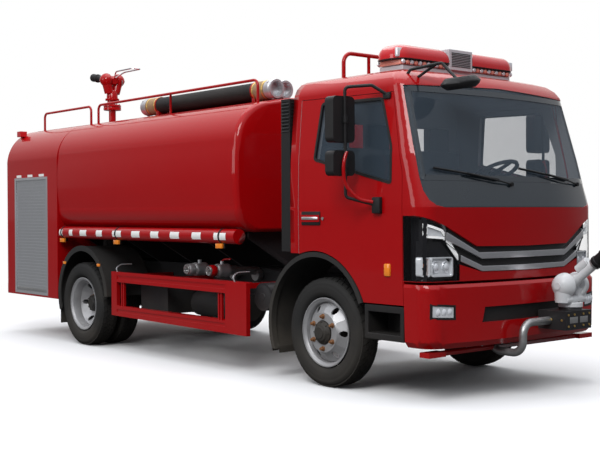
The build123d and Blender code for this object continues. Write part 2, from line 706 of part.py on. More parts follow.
# Front monitor on its bracket ahead of the bumper
monitor_x = 290
monitor_back = -1545
trunnion_z = 880
lobe_x = 75
lobe_radius = 105
with BuildPart() as front_monitor_bracket:
    block((100, 440), (-1640, -1300), (530, 680))
    block((140, 400), (-1600, -1340), (520, 645), mode=Mode.SUBTRACT)
    rod((monitor_x, monitor_back, 680), (monitor_x, monitor_back, 700), 95)
    stack(bumper_levels, 0, mode=Mode.SUBTRACT)
front_monitor_bracket.part.label = "front_monitor_bracket"
export_step(front_monitor_bracket.part, "parts/front_monitor_bracket.step")

with BuildPart() as front_monitor_turret:
    rod((monitor_x, monitor_back, 705), (monitor_x, monitor_back, 745), 95)
    with BuildSketch(Plane.XY.offset(745)):
        with Locations((monitor_x, y(monitor_back))):
            Ellipse(150, 100)
    extrude(amount=trunnion_z - 745)
    for px in (monitor_x - lobe_x, monitor_x + lobe_x):
        with Locations((px, y(monitor_back), trunnion_z)):
            Sphere(lobe_radius)
    slot_ys = (monitor_back - 130, monitor_back + 130)
    block((monitor_x - 62, monitor_x + 62), slot_ys, (800, 1050), mode=Mode.SUBTRACT)
front_monitor_turret.part.label = "front_monitor_turret"
export_step(front_monitor_turret.part, "parts/front_monitor_turret.step")

barrel_tilt = math.radians(38)


def along_barrel(distance, across=0):
    return (
        monitor_x,
        monitor_back - distance * math.cos(barrel_tilt) + across * math.sin(barrel_tilt),
        trunnion_z + distance * math.sin(barrel_tilt) + across * math.cos(barrel_tilt),
    )


with BuildPart() as front_monitor_barrel:
    rod((monitor_x - 57, monitor_back, trunnion_z), (monitor_x + 57, monitor_back, trunnion_z), 50)
    rod(along_barrel(0), along_barrel(300), 38)
    rod(along_barrel(300), along_barrel(420), 55)
    rod(along_barrel(350), along_barrel(421), 40, mode=Mode.SUBTRACT)
    rod(along_barrel(140, 50), along_barrel(260, 50), 45)
front_monitor_barrel.part.label = "front_monitor_barrel"
export_step(front_monitor_barrel.part, "parts/front_monitor_barrel.step")

# Roof monitor: a turning head and a barrel that points to the rear, worked by a looped handle
roof_trunnion_z = 3190
roof_lobe_x = 84
roof_lobe_radius = 88
roof_slot_half = 50
with BuildPart() as roof_monitor_head:
    rod((0, riser_back, 2845), (0, riser_back, 2870), 113)
    rod((0, riser_back, 2870), (0, riser_back, 3030), 50)
    rod((0, riser_back, 2870), (0, riser_back, 2945), 65)
    rod((0, riser_back, 2930), (0, riser_back, 2955), 90)
    rod((0, riser_back, 2955), (0, riser_back, 3060), 72)
    for px in (-roof_lobe_x, roof_lobe_x):
        with Locations((px, y(riser_back), roof_trunnion_z)):
            Sphere(roof_lobe_radius)
        rod((px * 0.5, riser_back, 3020), (px, riser_back, roof_trunnion_z), 62)
    slot_x = roof_slot_half + 1
    slot_ys = (riser_back - 150, riser_back + 150)
    block((-slot_x, slot_x), slot_ys, (3085, roof_trunnion_z + 120), mode=Mode.SUBTRACT)
roof_monitor_head.part.label = "roof_monitor_head"
export_step(roof_monitor_head.part, "parts/roof_monitor_head.step")

with BuildPart() as roof_monitor_barrel:
    hub_x = roof_slot_half - 5
    rod((-hub_x, riser_back, roof_trunnion_z), (hub_x, riser_back, roof_trunnion_z), 60)
    rod((0, riser_back - 80, roof_trunnion_z), (0, riser_back + 350, roof_trunnion_z + 60), 42)
    rod((0, riser_back + 350, roof_trunnion_z + 60), (0, riser_back + 490, roof_trunnion_z + 80), 55)
    tube(
        [
            (0, riser_back - 60, roof_trunnion_z + 20),
            (-60, riser_back - 200, roof_trunnion_z + 90),
            (-60, riser_back - 600, roof_trunnion_z + 90),
            (60, riser_back - 600, roof_trunnion_z + 90),
            (60, riser_back - 200, roof_trunnion_z + 90),
            (5, riser_back - 60, roof_trunnion_z + 20),
        ],
        10,
        40,
    )
roof_monitor_barrel.part.label = "roof_monitor_barrel"
export_step(roof_monitor_barrel.part, "parts/roof_monitor_barrel.step")

# Doors with their glass and mirrors. side is -1 on the right and 1 on the left.
mirror_heights = ((2035, 2400), (1770, 1970))
for side, name in ((-1, "right"), (1, "left")):
    xs = sorted((side * 850, side * 1300))
    with BuildPart() as door:
        skin(cab_levels, 0, door_skin)
        side_plate(door_outline, xs, mode=Mode.INTERSECT)
        side_plate(window_outline, xs, mode=Mode.SUBTRACT)
        rod((-1200, *arch_centre), (1200, *arch_centre), arch_radius + 6, mode=Mode.SUBTRACT)
        block(sorted((side * 1070, side * 1105)), (-30, 200), (1400, 1460))
    door.part.label = f"door_{name}"
    export_step(door.part, f"parts/door_{name}.step")

    with BuildPart() as door_glass:
        skin(cab_levels, 18, 23)
        side_plate(window_outline, xs, mode=Mode.INTERSECT)
    door_glass.part.label = f"door_glass_{name}"
    export_step(door_glass.part, f"parts/door_glass_{name}.step")

    with BuildPart() as mirror_set:
        tube(
            [
                (side * 1040, -790, 2400),
                (side * 1130, -700, 2480),
                (side * 1270, -540, 2470),
                (side * 1270, -545, 1600),
                (side * 1080, -730, 1530),
            ],
            13,
            35,
        )
        for low_z, high_z in mirror_heights:
            front_plate(
                [(side * 1155, low_z), (side * 1385, low_z), (side * 1385, high_z), (side * 1155, high_z)],
                (-530, -430),
                corner=40,
            )
        stack(cab_levels, 0, mode=Mode.SUBTRACT)
    mirror_set.part.label = f"mirror_{name}"
    export_step(mirror_set.part, f"parts/mirror_{name}.step")

# Wheels. The front ones turn on knuckles, the rear ones are pairs.
tyre_bore = 295
front_tyre_x = (800, 1031)
rear_tyre_xs = ((670, 902), (943, 1175))
shoulder_drop = 30
shoulder_width = 32


def tyre_profile(xs):
    first, last = xs
    return [
        (first, tyre_bore),
        (first, tyre_radius - shoulder_drop),
        (first + shoulder_width, tyre_radius),
        (last - shoulder_width, tyre_radius),
        (last, tyre_radius - shoulder_drop),
        (last, tyre_bore),
    ]


def sided(profile, side):
    return [(side * px, radius) for px, radius in profile]


def hand_holes(side, xs, back):
    # six holes through the disc of a wheel
    for count in range(6):
        angle = math.radians(60 * count)
        hole_back = back + 212 * math.cos(angle)
        hole_z = axle_z + 212 * math.sin(angle)
        rod((side * xs[0], hole_back, hole_z), (side * xs[1], hole_back, hole_z), 28, mode=Mode.SUBTRACT)


rim_radius = tyre_bore - 0.3
for side, name in ((-1, "right"), (1, "left")):
    with BuildPart() as knuckle:
        for z_low in (535, 345):
            rod((side * kingpin_x, 0, z_low), (side * kingpin_x, 0, z_low + 50), 48)
        block(sorted((side * 836, side * 866)), (-40, 40), (345, 585))
        for z_low in (535, 345):
            block(sorted((side * 795, side * 840)), (-40, 40), (z_low, z_low + 50))
        rod((side * 866, 0, axle_z), (side * 874, 0, axle_z), 170)
        rod((side * 874, 0, axle_z), (side * 970, 0, axle_z), 35)
    knuckle.part.label = f"knuckle_{name}"
    export_step(knuckle.part, f"parts/knuckle_{name}.step")

    with BuildPart() as front_tyre:
        turned(sided(tyre_profile(front_tyre_x), side), 0)
    front_tyre.part.label = f"front_tyre_{name}"
    export_step(front_tyre.part, f"parts/front_tyre_{name}.step")

    front_rim_profile = [
        (836, rim_radius),
        (836, 250),
        (930, 245),
        (1015, 165),
        (1015, 100),
        (975, 100),
        (975, 190),
        (884, 190),
        (884, 42),
        (985, 42),
        (985, 0.5),
        (1085, 0.5),
        (1085, 70),
        (1033, 90),
        (1033, 170),
        (955, 250),
        (1012, 255),
        (1012, rim_radius),
    ]
    with BuildPart() as front_rim:
        turned(sided(front_rim_profile, side), 0)
        hand_holes(side, (950, 1030), 0)
    front_rim.part.label = f"front_rim_{name}"
    export_step(front_rim.part, f"parts/front_rim_{name}.step")

    with BuildPart() as rear_tyres:
        for xs in rear_tyre_xs:
            turned(sided(tyre_profile(xs), side), wheelbase)
    rear_tyres.part.label = f"rear_tyres_{name}"
    export_step(rear_tyres.part, f"parts/rear_tyres_{name}.step")

    rear_rim_profile = [
        (690, rim_radius),
        (690, 255),
        (905, 250),
        (905, 190),
        (720, 190),
        (720, 56),
        (900, 56),
        (900, 0.5),
        (1060, 0.5),
        (1060, 90),
        (935, 95),
        (935, 250),
        (1155, 255),
        (1155, rim_radius),
    ]
    with BuildPart() as rear_rims:
        turned(sided(rear_rim_profile, side), wheelbase)
        hand_holes(side, (930, 1000), wheelbase)
    rear_rims.part.label = f"rear_rims_{name}"
    export_step(rear_rims.part, f"parts/rear_rims_{name}.step")
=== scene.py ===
import json
import math
import bmesh
import bpy
from mathutils import Matrix, Vector


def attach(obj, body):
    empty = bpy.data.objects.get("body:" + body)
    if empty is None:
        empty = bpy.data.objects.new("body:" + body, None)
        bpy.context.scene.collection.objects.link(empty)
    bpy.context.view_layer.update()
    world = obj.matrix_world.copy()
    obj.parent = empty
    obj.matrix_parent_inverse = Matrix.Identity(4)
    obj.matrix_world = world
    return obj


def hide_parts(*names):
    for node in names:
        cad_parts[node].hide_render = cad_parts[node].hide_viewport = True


# Metres, the nose along -Y. Places along the truck are counted back from the front axle, as in the CAD part.
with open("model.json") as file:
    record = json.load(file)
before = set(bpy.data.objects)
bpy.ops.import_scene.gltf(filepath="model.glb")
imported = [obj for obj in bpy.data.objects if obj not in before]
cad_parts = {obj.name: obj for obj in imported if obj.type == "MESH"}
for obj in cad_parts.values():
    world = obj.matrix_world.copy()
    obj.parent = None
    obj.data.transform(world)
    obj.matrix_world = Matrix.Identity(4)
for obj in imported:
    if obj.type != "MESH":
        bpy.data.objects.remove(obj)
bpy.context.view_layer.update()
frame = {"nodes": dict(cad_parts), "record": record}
frontAxleY = -2.015
wheelbase = 3.95
axleZ = 0.465
nodes = frame["nodes"]
bodyOf = {}
for bodyName, names in frame["record"]["behaviour"]["bodies"].items():
    for nodeName in names:
        bodyOf[nodeName] = bodyName


def at(back):
    return frontAxleY + back


def about(middle, half):
    return middle - half, middle + half


def addNode(tree, kind, values=None, **settings):
    # a node with its settings; each input takes a plain value, or the socket that feeds it
    node = tree.nodes.new(kind)
    for key, value in settings.items():
        setattr(node, key, value)
    for key, value in (values or {}).items():
        if isinstance(value, bpy.types.NodeSocket):
            tree.links.new(value, node.inputs[key])
        else:
            node.inputs[key].default_value = value
    return node.outputs


def calc(tree, operation, *values, clamp=False):
    return addNode(tree, "ShaderNodeMath", dict(enumerate(values)), operation=operation, use_clamp=clamp)[0]


# Shared shader effect: broad and fine variation of a colour, with dust that settles low on the vehicle
def makeWearGroup():
    group = bpy.data.node_groups.new("wornSurface", "ShaderNodeTree")
    taken = (
        ("Color", "Color", (0.5, 0.5, 0.5, 1)), ("Dust Color", "Color", (0.25, 0.2, 0.15, 1)),
        ("Dust", "Float", 0.2), ("Dust Top", "Float", 0.9), ("Variation", "Float", 0.1),
        ("Roughness", "Float", 0.3), ("Grain Scale", "Float", 60.0), ("Bump", "Float", 0.05),
    )
    for name, kind, value in taken:
        group.interface.new_socket(name, in_out="INPUT", socket_type="NodeSocket" + kind).default_value = value
    for name, kind in (("Color", "Color"), ("Roughness", "Float"), ("Normal", "Vector")):
        group.interface.new_socket(name, in_out="OUTPUT", socket_type="NodeSocket" + kind)
    given = group.nodes.new("NodeGroupInput").outputs
    place = addNode(group, "ShaderNodeTexCoord")["Object"]
    broad = addNode(group, "ShaderNodeTexNoise", {"Vector": place, "Scale": 2.3, "Detail": 5})["Fac"]
    grain = {"Vector": place, "Scale": given["Grain Scale"], "Detail": 4}
    fine = addNode(group, "ShaderNodeTexNoise", grain)["Fac"]
    height = addNode(group, "ShaderNodeSeparateXYZ", {0: place})["Z"]
    settled = {"Value": height, "From Max": given["Dust Top"], "To Min": 1, "To Max": 0.08}
    low = addNode(group, "ShaderNodeMapRange", settled, interpolation_type="SMOOTHSTEP")["Result"]
    ragged = addNode(group, "ShaderNodeMapRange", {"Value": broad, "From Min": 0.3, "From Max": 0.75})["Result"]
    amount = calc(group, "MULTIPLY", calc(group, "MULTIPLY", low, ragged), given["Dust"])
    less = calc(group, "SUBTRACT", 1, given["Variation"])
    more = calc(group, "ADD", 1, given["Variation"])
    shade = addNode(group, "ShaderNodeMapRange", {"Value": fine, "To Min": less, "To Max": more})["Result"]
    tinted = addNode(group, "ShaderNodeVectorMath", {0: given["Color"], "Scale": shade}, operation="SCALE")["Vector"]
    dusty = addNode(group, "ShaderNodeMix", {"Factor": amount, 6: tinted, 7: given["Dust Color"]},
                    data_type="RGBA")[2]
    rougher = calc(group, "MULTIPLY_ADD", amount, 0.6, given["Roughness"], clamp=True)
    spread = calc(group, "MULTIPLY", rougher, shade, clamp=True)
    bump = addNode(group, "ShaderNodeBump", {"Distance": 0.002, "Strength": given["Bump"], "Height": fine})["Normal"]
    addNode(group, "NodeGroupOutput", {"Color": dusty, "Roughness": spread, "Normal": bump})
    return group


wearGroup = makeWearGroup()
dustBrown = (0.2, 0.165, 0.125)
coatRoughness = 0.04


def wornMaterial(name, color, effect, values):
    # a Principled material that the shared effect colours; values are plain ones of its own
    material = bpy.data.materials.new(name)
    material.use_nodes = True
    tree = material.node_tree
    shader = tree.nodes["Principled BSDF"].inputs
    wear = addNode(tree, "ShaderNodeGroup", {"Color": (*color, 1), **effect}, node_tree=wearGroup)
    tree.links.new(wear["Color"], shader["Base Color"])
    tree.links.new(wear["Roughness"], shader["Roughness"])
    for key, value in values.items():
        shader[key].default_value = value
    return material, tree, shader, wear


def surface(name, color, roughness=0.4, metallic=0.0, coat=0.0, dust=0.2, dustTop=0.9, variation=0.08,
            grain=60.0, bump=0.05, glow=0.0, specular=0.25):
    effect = {"Dust Color": (*dustBrown, 1), "Dust": dust, "Dust Top": dustTop, "Variation": variation,
              "Roughness": roughness, "Grain Scale": grain, "Bump": bump}
    values = {"Metallic": metallic, "Specular IOR Level": specular, "Coat Weight": coat,
              "Coat Roughness": coatRoughness}
    if glow:
        values.update({"Emission Color": (0.95, 0.97, 1.0, 1), "Emission Strength": glow})
    material, tree, shader, wear = wornMaterial(name, color, effect, values)
    tree.links.new(wear["Normal"], shader["Normal"])
    return material


paint = {
    "red": surface("redPaint", (0.36, 0.001, 0.0025), 0.35, coat=0.7, specular=0.05, dust=0.1, dustTop=0.75,
                   variation=0.03, grain=14, bump=0.02),
    "chassis": surface("chassisPaint", (0.018, 0.018, 0.02), 0.45, dust=0.35, variation=0.25, bump=0.2),
    "blackPlastic": surface("blackPlastic", (0.011, 0.011, 0.012), 0.5, dust=0.25, variation=0.15, grain=220,
                            bump=0.15),
    "glossBlack": surface("glossBlack", (0.02, 0.027, 0.034), 0.12, coat=1.0, dust=0.1, variation=0.1),
    "mudguard": surface("mudguardRubber", (0.02, 0.02, 0.02), 0.62, dust=0.4, dustTop=1.1, variation=0.2, grain=120,
                        bump=0.2),
    "tyre": surface("tyreRubber", (0.018, 0.018, 0.018), 0.72, dust=0.2, dustTop=1.0, variation=0.2, grain=150,
                    bump=0.25),
    "rim": surface("rimSilver", (0.42, 0.42, 0.43), 0.34, metallic=0.5, dust=0.3, dustTop=1.0, variation=0.1,
                   bump=0.08),
    "hub": surface("hubBlack", (0.022, 0.021, 0.02), 0.5, dust=0.35, variation=0.3, grain=35, bump=0.3),
    "rust": surface("rustySteel", (0.3, 0.14, 0.06), 0.7, metallic=0.4, dust=0.3, variation=0.5, grain=140, bump=0.5),
    "chrome": surface("brightTrim", (0.85, 0.85, 0.87), 0.28, metallic=1.0, dust=0.08, variation=0.05),
    "steel": surface("wornSteel", (0.42, 0.42, 0.42), 0.4, metallic=0.85, dust=0.25, variation=0.2, grain=40,
                     bump=0.15),
    "aluminium": surface("satinAluminium", (0.62, 0.63, 0.65), 0.36, metallic=0.75, dust=0.12, dustTop=1.3,
                         variation=0.06, bump=0.05),
    "iron": surface("castIron", (0.12, 0.12, 0.12), 0.65, metallic=0.4, dust=0.4, variation=0.3, grain=90, bump=0.5),
    "monitorGrey": surface("greyWhitePaint", (0.66, 0.67, 0.68), 0.35, coat=0.2, dust=0.1, variation=0.06, bump=0.05),
    "speaker": surface("speakerGrey", (0.5, 0.5, 0.52), 0.45, dust=0.1, variation=0.08),
    "trim": surface("cabTrim", (0.06, 0.06, 0.07), 0.8, dust=0.05, variation=0.15, grain=300, bump=0.3),
    "lining": surface("cabLining", (0.4, 0.41, 0.42), 0.8, dust=0.03, variation=0.08, grain=300, bump=0.2),
    "cloth": surface("seatCloth", (0.06, 0.066, 0.075), 0.9, dust=0.03, variation=0.2, grain=420, bump=0.5),
    "hose": surface("hoseRubber", (0.014, 0.014, 0.015), 0.55, dust=0.3, dustTop=4.0, variation=0.2, grain=90,
                    bump=0.2),
    "tan": surface("hoseWrap", (0.33, 0.22, 0.12), 0.75, dust=0.2, dustTop=4, variation=0.35, grain=60, bump=0.4),
    "gold": surface("brassBand", (0.75, 0.5, 0.16), 0.3, metallic=0.9, dust=0.05, variation=0.15),
    "white": surface("whiteTape", (0.8, 0.8, 0.78), 0.35, dust=0.1, variation=0.05, grain=500, bump=0.1),
    "amber": surface("amberLens", (0.85, 0.25, 0.02), 0.15, coat=0.6, dust=0.05, variation=0.05),
    "redLens": surface("redLens", (0.5, 0.006, 0.01), 0.14, coat=0.8, dust=0.05, variation=0.08, grain=240),
    "clearLens": surface("clearLens", (0.78, 0.8, 0.84), 0.1, coat=0.8, dust=0.03, variation=0.06, grain=260),
    "lampBlack": surface("lampBlack", (0.01, 0.01, 0.012), 0.18, coat=0.5, dust=0.05, variation=0.1),
    "mirrorGlass": surface("mirrorGlass", (0.8, 0.82, 0.84), 0.03, metallic=1.0, dust=0.02, variation=0.01),
    "reflector": surface("lampReflector", (0.8, 0.82, 0.85), 0.16, metallic=0.35, dust=0.0, variation=0.03),
    "rosy": surface("rosyReflector", (0.8, 0.32, 0.24), 0.2, dust=0.02, variation=0.2, grain=90),
    "lampGlow": surface("lampGlow", (0.9, 0.9, 0.88), 0.2, dust=0.0, glow=0.25),
}


def glassMaterial(name, tint, alpha):
    # thin sheet: clear from straight ahead, reflective at a slant
    effect = {"Dust": 0.03, "Dust Top": 3.0, "Variation": 0.05, "Roughness": 0.03, "Grain Scale": 8, "Bump": 0.01}
    material, tree, shader, wear = wornMaterial(name, tint, effect, {"Specular IOR Level": 0.9})
    # Facing is the same on both faces of a pane, where Fresnel would turn the inner one opaque
    slant = calc(tree, "POWER", addNode(tree, "ShaderNodeLayerWeight", {"Blend": 0.5})["Facing"], 4.0)
    seen = addNode(tree, "ShaderNodeMapRange", {"Value": slant, "To Min": alpha, "To Max": 0.9})["Result"]
    tree.links.new(seen, shader["Alpha"])
    return material


paint["glass"] = glassMaterial("windowGlass", (0.1, 0.14, 0.185), 0.2)
paint["lensGlass"] = glassMaterial("lensGlass", (0.12, 0.12, 0.13), 0.04)
print("materials made")

# Mesh helpers: the angles that shade and bevel the forms, and how close points are before they merge
smoothAngle, bevelAngle, flatAngle = (math.radians(degrees) for degrees in (32, 38, 0.6))
mergeDistance = 2e-5
largeFaceWeight = 95


def smoothed(mesh):
    mesh.polygons.foreach_set("use_smooth", [True] * len(mesh.polygons))
    mesh.set_sharp_from_angle(angle=smoothAngle)


def finishPiece(obj, body, replaced=()):
    smoothed(obj.data)
    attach(obj, body)
    if replaced:
        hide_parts(*replaced)


def objectFrom(name, mesh, looks=()):
    for look in looks:
        mesh.materials.append(paint[look])
    obj = bpy.data.objects.new(name, mesh)
    bpy.context.scene.collection.objects.link(obj)
    return obj


def evaluatedMesh(obj):
    # what the modifiers make, as the object's own plain mesh
    mesh = bpy.data.meshes.new_from_object(obj.evaluated_get(bpy.context.evaluated_depsgraph_get()))
    obj.modifiers.clear()
    obj.data = mesh


# Planes near the cab's creases: a cut on each side of one keeps its rounding narrow
cabCuts = [((0, 0, z + d), (0, 0, 1)) for z in (1.0, 1.52, 1.93, 2.49, 2.57) for d in (-0.025, 0.025)]
cabCuts += [((0, frontAxleY - 1.055, 1), (0, 1, 0)), ((0, frontAxleY + 0.29, 1), (0, 1, 0))]
cabCuts += [((0, frontAxleY - 1.06, 1.52), (0, 0.97, -0.24))]


def weighted(obj):
    # large faces keep their own normal, so shading changes only across the small ones
    mod = obj.modifiers.new("even", "WEIGHTED_NORMAL")
    mod.keep_sharp = True
    mod.weight = largeFaceWeight
    evaluatedMesh(obj)


def smoothCopy(node, looks, bevel=0.0, cuts=(), pick=None, segments=2):
    # the CAD node's own form, with merged points, shaded by angle and with softened edges
    mesh = nodes[node].data.copy()
    mesh.materials.clear()
    work = bmesh.new()
    work.from_mesh(mesh)
    bmesh.ops.remove_doubles(work, verts=work.verts, dist=mergeDistance)
    bmesh.ops.dissolve_limit(work, angle_limit=flatAngle, verts=work.verts, edges=work.edges)
    if bevel:
        sharp = [e for e in work.edges if len(e.link_faces) == 2 and e.calc_face_angle(0) > bevelAngle
                 and e.calc_length() > bevel * 2.5]
        bmesh.ops.bevel(work, geom=sharp, offset=bevel, segments=segments, profile=0.5, affect="EDGES",
                        clamp_overlap=True, loop_slide=True)
    for spot, normal in cuts:
        bmesh.ops.bisect_plane(work, geom=work.verts[:] + work.edges[:] + work.faces[:], dist=1e-5, plane_co=spot,
                               plane_no=normal)
    if pick:
        for face in work.faces:
            face.material_index = pick(face.calc_center_median(), face.normal)
    bmesh.ops.triangulate(work, faces=[f for f in work.faces if len(f.verts) > 4])
    work.to_mesh(mesh)
    work.free()
    smoothed(mesh)
    obj = objectFrom(node + "_look", mesh, looks)
    weighted(obj)
    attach(obj, bodyOf[node])
    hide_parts(node)


class Builder:
    # gathers solids of one piece; each solid takes the current material index
    def __init__(self):
        self.work = bmesh.new()
        self.index = 0

    @staticmethod
    def circle(axis, steps, start=0.0):
        # unit directions round the axis
        side = axis.orthogonal().normalized()
        up = axis.cross(side)
        turns = (2 * math.pi * k / steps + start for k in range(steps))
        return [side * math.cos(a) + up * math.sin(a) for a in turns]

    def take(self, verts, faces):
        made = [self.work.verts.new(v) for v in verts]
        for face in faces:
            new = self.work.faces.new([made[i] for i in face])
            new.material_index = self.index

    def box(self, xs, ys, zs, bevel=0.0, turn=None):
        xs = sorted(xs)
        part = bmesh.new()
        bmesh.ops.create_cube(part, size=1)
        size = Vector((xs[1] - xs[0], ys[1] - ys[0], zs[1] - zs[0]))
        centre = Vector(((xs[0] + xs[1]) / 2, (ys[0] + ys[1]) / 2, (zs[0] + zs[1]) / 2))
        bmesh.ops.scale(part, vec=size, verts=part.verts)
        if bevel:
            bmesh.ops.bevel(part, geom=part.edges[:], offset=bevel, segments=2, profile=0.5, affect="EDGES")
        if turn:
            bmesh.ops.rotate(part, cent=(0, 0, 0), matrix=turn, verts=part.verts)
        bmesh.ops.translate(part, vec=centre, verts=part.verts)
        self.absorb(part)

    def absorb(self, part):
        part.verts.ensure_lookup_table()
        part.verts.index_update()
        self.take([v.co.copy() for v in part.verts], [[v.index for v in f.verts] for f in part.faces])
        part.free()

    def lathe(self, profile, origin, axis, steps=48, close=True, start=0.0):
        # (distance along the axis, radius) pairs turned about the axis
        axis = Vector(axis).normalized()
        origin = Vector(origin)
        verts, faces, count = [], [], len(profile)
        for way in self.circle(axis, steps, start):
            verts += [origin + axis * along + way * radius for along, radius in profile]
        last = count if close else count - 1
        for k in range(steps):
            here, there = k * count, (k + 1) % steps * count
            for j in range(last):
                nxt = (j + 1) % count
                faces.append([here + j, here + nxt, there + nxt, there + j])
        self.take(verts, faces)

    def spin(self, profile, origin, axis, steps):
        # an open profile, whose ends lie on the axis or inside another form
        self.lathe(profile, origin, axis, steps, False)

    def rod(self, start, end, radius, steps=16, endRadius=None, caps=True):
        start, end = Vector(start), Vector(end)
        axis = (end - start).normalized()
        endRadius = radius if endRadius is None else endRadius
        verts = []
        for way in self.circle(axis, steps):
            verts += [start + way * radius, start + axis * (end - start).length + way * endRadius]
        faces = [[2 * k, 2 * ((k + 1) % steps), 2 * ((k + 1) % steps) + 1, 2 * k + 1] for k in range(steps)]
        if caps:
            faces.append([2 * k for k in reversed(range(steps))])
            faces.append([2 * k + 1 for k in range(steps)])
        self.take(verts, faces)

    def pipe(self, points, radius, steps=12, bend=0.04, turns=5):
        # a bent tube; corners are rounded with short arcs
        route = [Vector(p) for p in points]
        path = [route[0]]
        for before, corner, after in zip(route, route[1:], route[2:]):
            inward, outward = (before - corner), (after - corner)
            cut = min(bend, inward.length / 2.2, outward.length / 2.2)
            first, last = corner + inward.normalized() * cut, corner + outward.normalized() * cut
            for k in range(turns + 1):
                t = k / turns
                path.append((1 - t) ** 2 * first + 2 * t * (1 - t) * corner + t * t * last)
        path.append(route[-1])
        verts, faces = [], []
        side = (path[1] - path[0]).orthogonal().normalized()
        for k, point in enumerate(path):
            ahead = path[min(k + 1, len(path) - 1)] - path[max(k - 1, 0)]
            ahead.normalize()
            side = (side - ahead * side.dot(ahead)).normalized()
            up = ahead.cross(side)
            for j in range(steps):
                a = 2 * math.pi * j / steps
                verts.append(point + (side * math.cos(a) + up * math.sin(a)) * radius)
        for k in range(len(path) - 1):
            for j in range(steps):
                nxt = (j + 1) % steps
                faces.append([k * steps + j, k * steps + nxt, (k + 1) * steps + nxt, (k + 1) * steps + j])
        faces.append(list(reversed(range(steps))))
        faces.append([(len(path) - 1) * steps + j for j in range(steps)])
        self.take(verts, faces)

    def mesh(self, name):
        bmesh.ops.recalc_face_normals(self.work, faces=self.work.faces)
        big = [f for f in self.work.faces if len(f.verts) > 4]
        bmesh.ops.triangulate(self.work, faces=big)
        mesh = bpy.data.meshes.new(name)
        self.work.to_mesh(mesh)
        self.work.free()
        return mesh


def piece(name, builder, looks, body, replaced=()):
    finishPiece(objectFrom(name, builder.mesh(name), looks), body, replaced)


# Forms that repeat are grown by two trees: a straight row of boxes and a ring of short cylinders
def newTree(name, sockets):
    tree = bpy.data.node_groups.new(name, "GeometryNodeTree")
    for label, kind in sockets:
        tree.interface.new_socket(label, in_out="INPUT", socket_type="NodeSocket" + kind)
    tree.interface.new_socket("Geometry", in_out="OUTPUT", socket_type="NodeSocketGeometry")
    return tree, tree.nodes.new("NodeGroupInput").outputs


def dressTree(tree, instances, place, given):
    # the common end of both trees
    plain = addNode(tree, "GeometryNodeRealizeInstances", {"Geometry": instances})["Geometry"]
    if place:
        plain = addNode(tree, "GeometryNodeTransform", {"Geometry": plain, "Translation": place})["Geometry"]
    dressed = addNode(tree, "GeometryNodeSetMaterial", {"Geometry": plain, "Material": given["Material"]})
    addNode(tree, "NodeGroupOutput", {"Geometry": dressed["Geometry"]})
    return tree


def makeRowTree():
    tree, given = newTree("boxRow", (("Count", "Int"), ("Start", "Vector"), ("Step", "Vector"), ("Size", "Vector"),
                                     ("Turn", "Rotation"), ("Material", "Material")))
    row = {"Count": given["Count"], "Start Location": given["Start"], "Offset": given["Step"]}
    line = addNode(tree, "GeometryNodeMeshLine", row)["Mesh"]
    cube = addNode(tree, "GeometryNodeMeshCube", {"Size": given["Size"]})["Mesh"]
    spread = addNode(tree, "GeometryNodeInstanceOnPoints", {"Points": line, "Instance": cube,
                                                            "Rotation": given["Turn"]})
    return dressTree(tree, spread["Instances"], None, given)


def makeRingTree():
    tree, given = newTree("boltRing", (("Count", "Int"), ("Ring Radius", "Float"), ("Bolt Radius", "Float"),
                                       ("Bolt Depth", "Float"), ("Sides", "Int"), ("Centre", "Vector"),
                                       ("Material", "Material")))
    ring = {"Vertices": given["Count"], "Radius": given["Ring Radius"]}
    circle = addNode(tree, "GeometryNodeMeshCircle", ring)["Mesh"]
    form = {"Vertices": given["Sides"], "Radius": given["Bolt Radius"], "Depth": given["Bolt Depth"]}
    bolt = addNode(tree, "GeometryNodeMeshCylinder", form)["Mesh"]
    spread = addNode(tree, "GeometryNodeInstanceOnPoints", {"Points": circle, "Instance": bolt})["Instances"]
    return dressTree(tree, spread, given["Centre"], given)


rowTree, ringTree = makeRowTree(), makeRingTree()


def grown(tree, name, body, values):
    obj = objectFrom(name, bpy.data.meshes.new(name))
    form = obj.modifiers.new("form", "NODES")
    form.node_group = tree
    for item in tree.interface.items_tree:
        if item.in_out == "INPUT" and item.name in values:
            form[item.identifier] = values[item.name]
    evaluatedMesh(obj)
    finishPiece(obj, body)


def grownRow(name, count, start, step, size, turn, look):
    grown(rowTree, name, "truck", {"Count": count, "Start": start, "Step": (0, 0, step), "Size": size, "Turn": turn,
                                   "Material": paint[look]})


# The cab's outside, for pieces that lie on it: height, half width, front at the middle, corner radius
cabLevels = ((0.757, 1.075, -1.325, 0.15), (1.0, 1.085, -1.335, 0.15), (1.52, 1.09, -1.33, 0.15),
             (1.93, 1.082, -1.212, 0.14), (2.49, 1.035, -1.05, 0.12), (2.57, 0.985, -0.975, 0.11))
bumperLevels = ((0.435, 1.04, -1.335, 0.15), (0.48, 1.075, -1.368, 0.15), (0.9, 1.088, -1.368, 0.15),
                (0.925, 1.08, -1.35, 0.15))
noseRadius = 5.0


def levelAt(levels, z):
    for low, high in zip(levels, levels[1:]):
        if z <= high[0]:
            break
    t = max(0.0, min(1.0, (z - low[0]) / (high[0] - low[0])))
    return [a + (b - a) * t for a, b in zip(low[1:], high[1:])]


def frontPoint(x, z, inset=0.0, levels=cabLevels):
    half, nose, corner = levelAt(levels, z)
    cornerX = half - corner
    reach = math.sqrt((noseRadius - corner) ** 2 - cornerX ** 2)
    cornerY = at(nose) + noseRadius - reach
    tangentX = cornerX * noseRadius / (noseRadius - corner)
    side = abs(x)
    if side <= tangentX:
        y = at(nose) + noseRadius - math.sqrt((noseRadius - inset) ** 2 - side ** 2)
    else:
        off = min(side - cornerX, corner - inset - 1e-4)
        y = cornerY - math.sqrt(max((corner - inset) ** 2 - off ** 2, 0))
    return Vector((x, y, z))


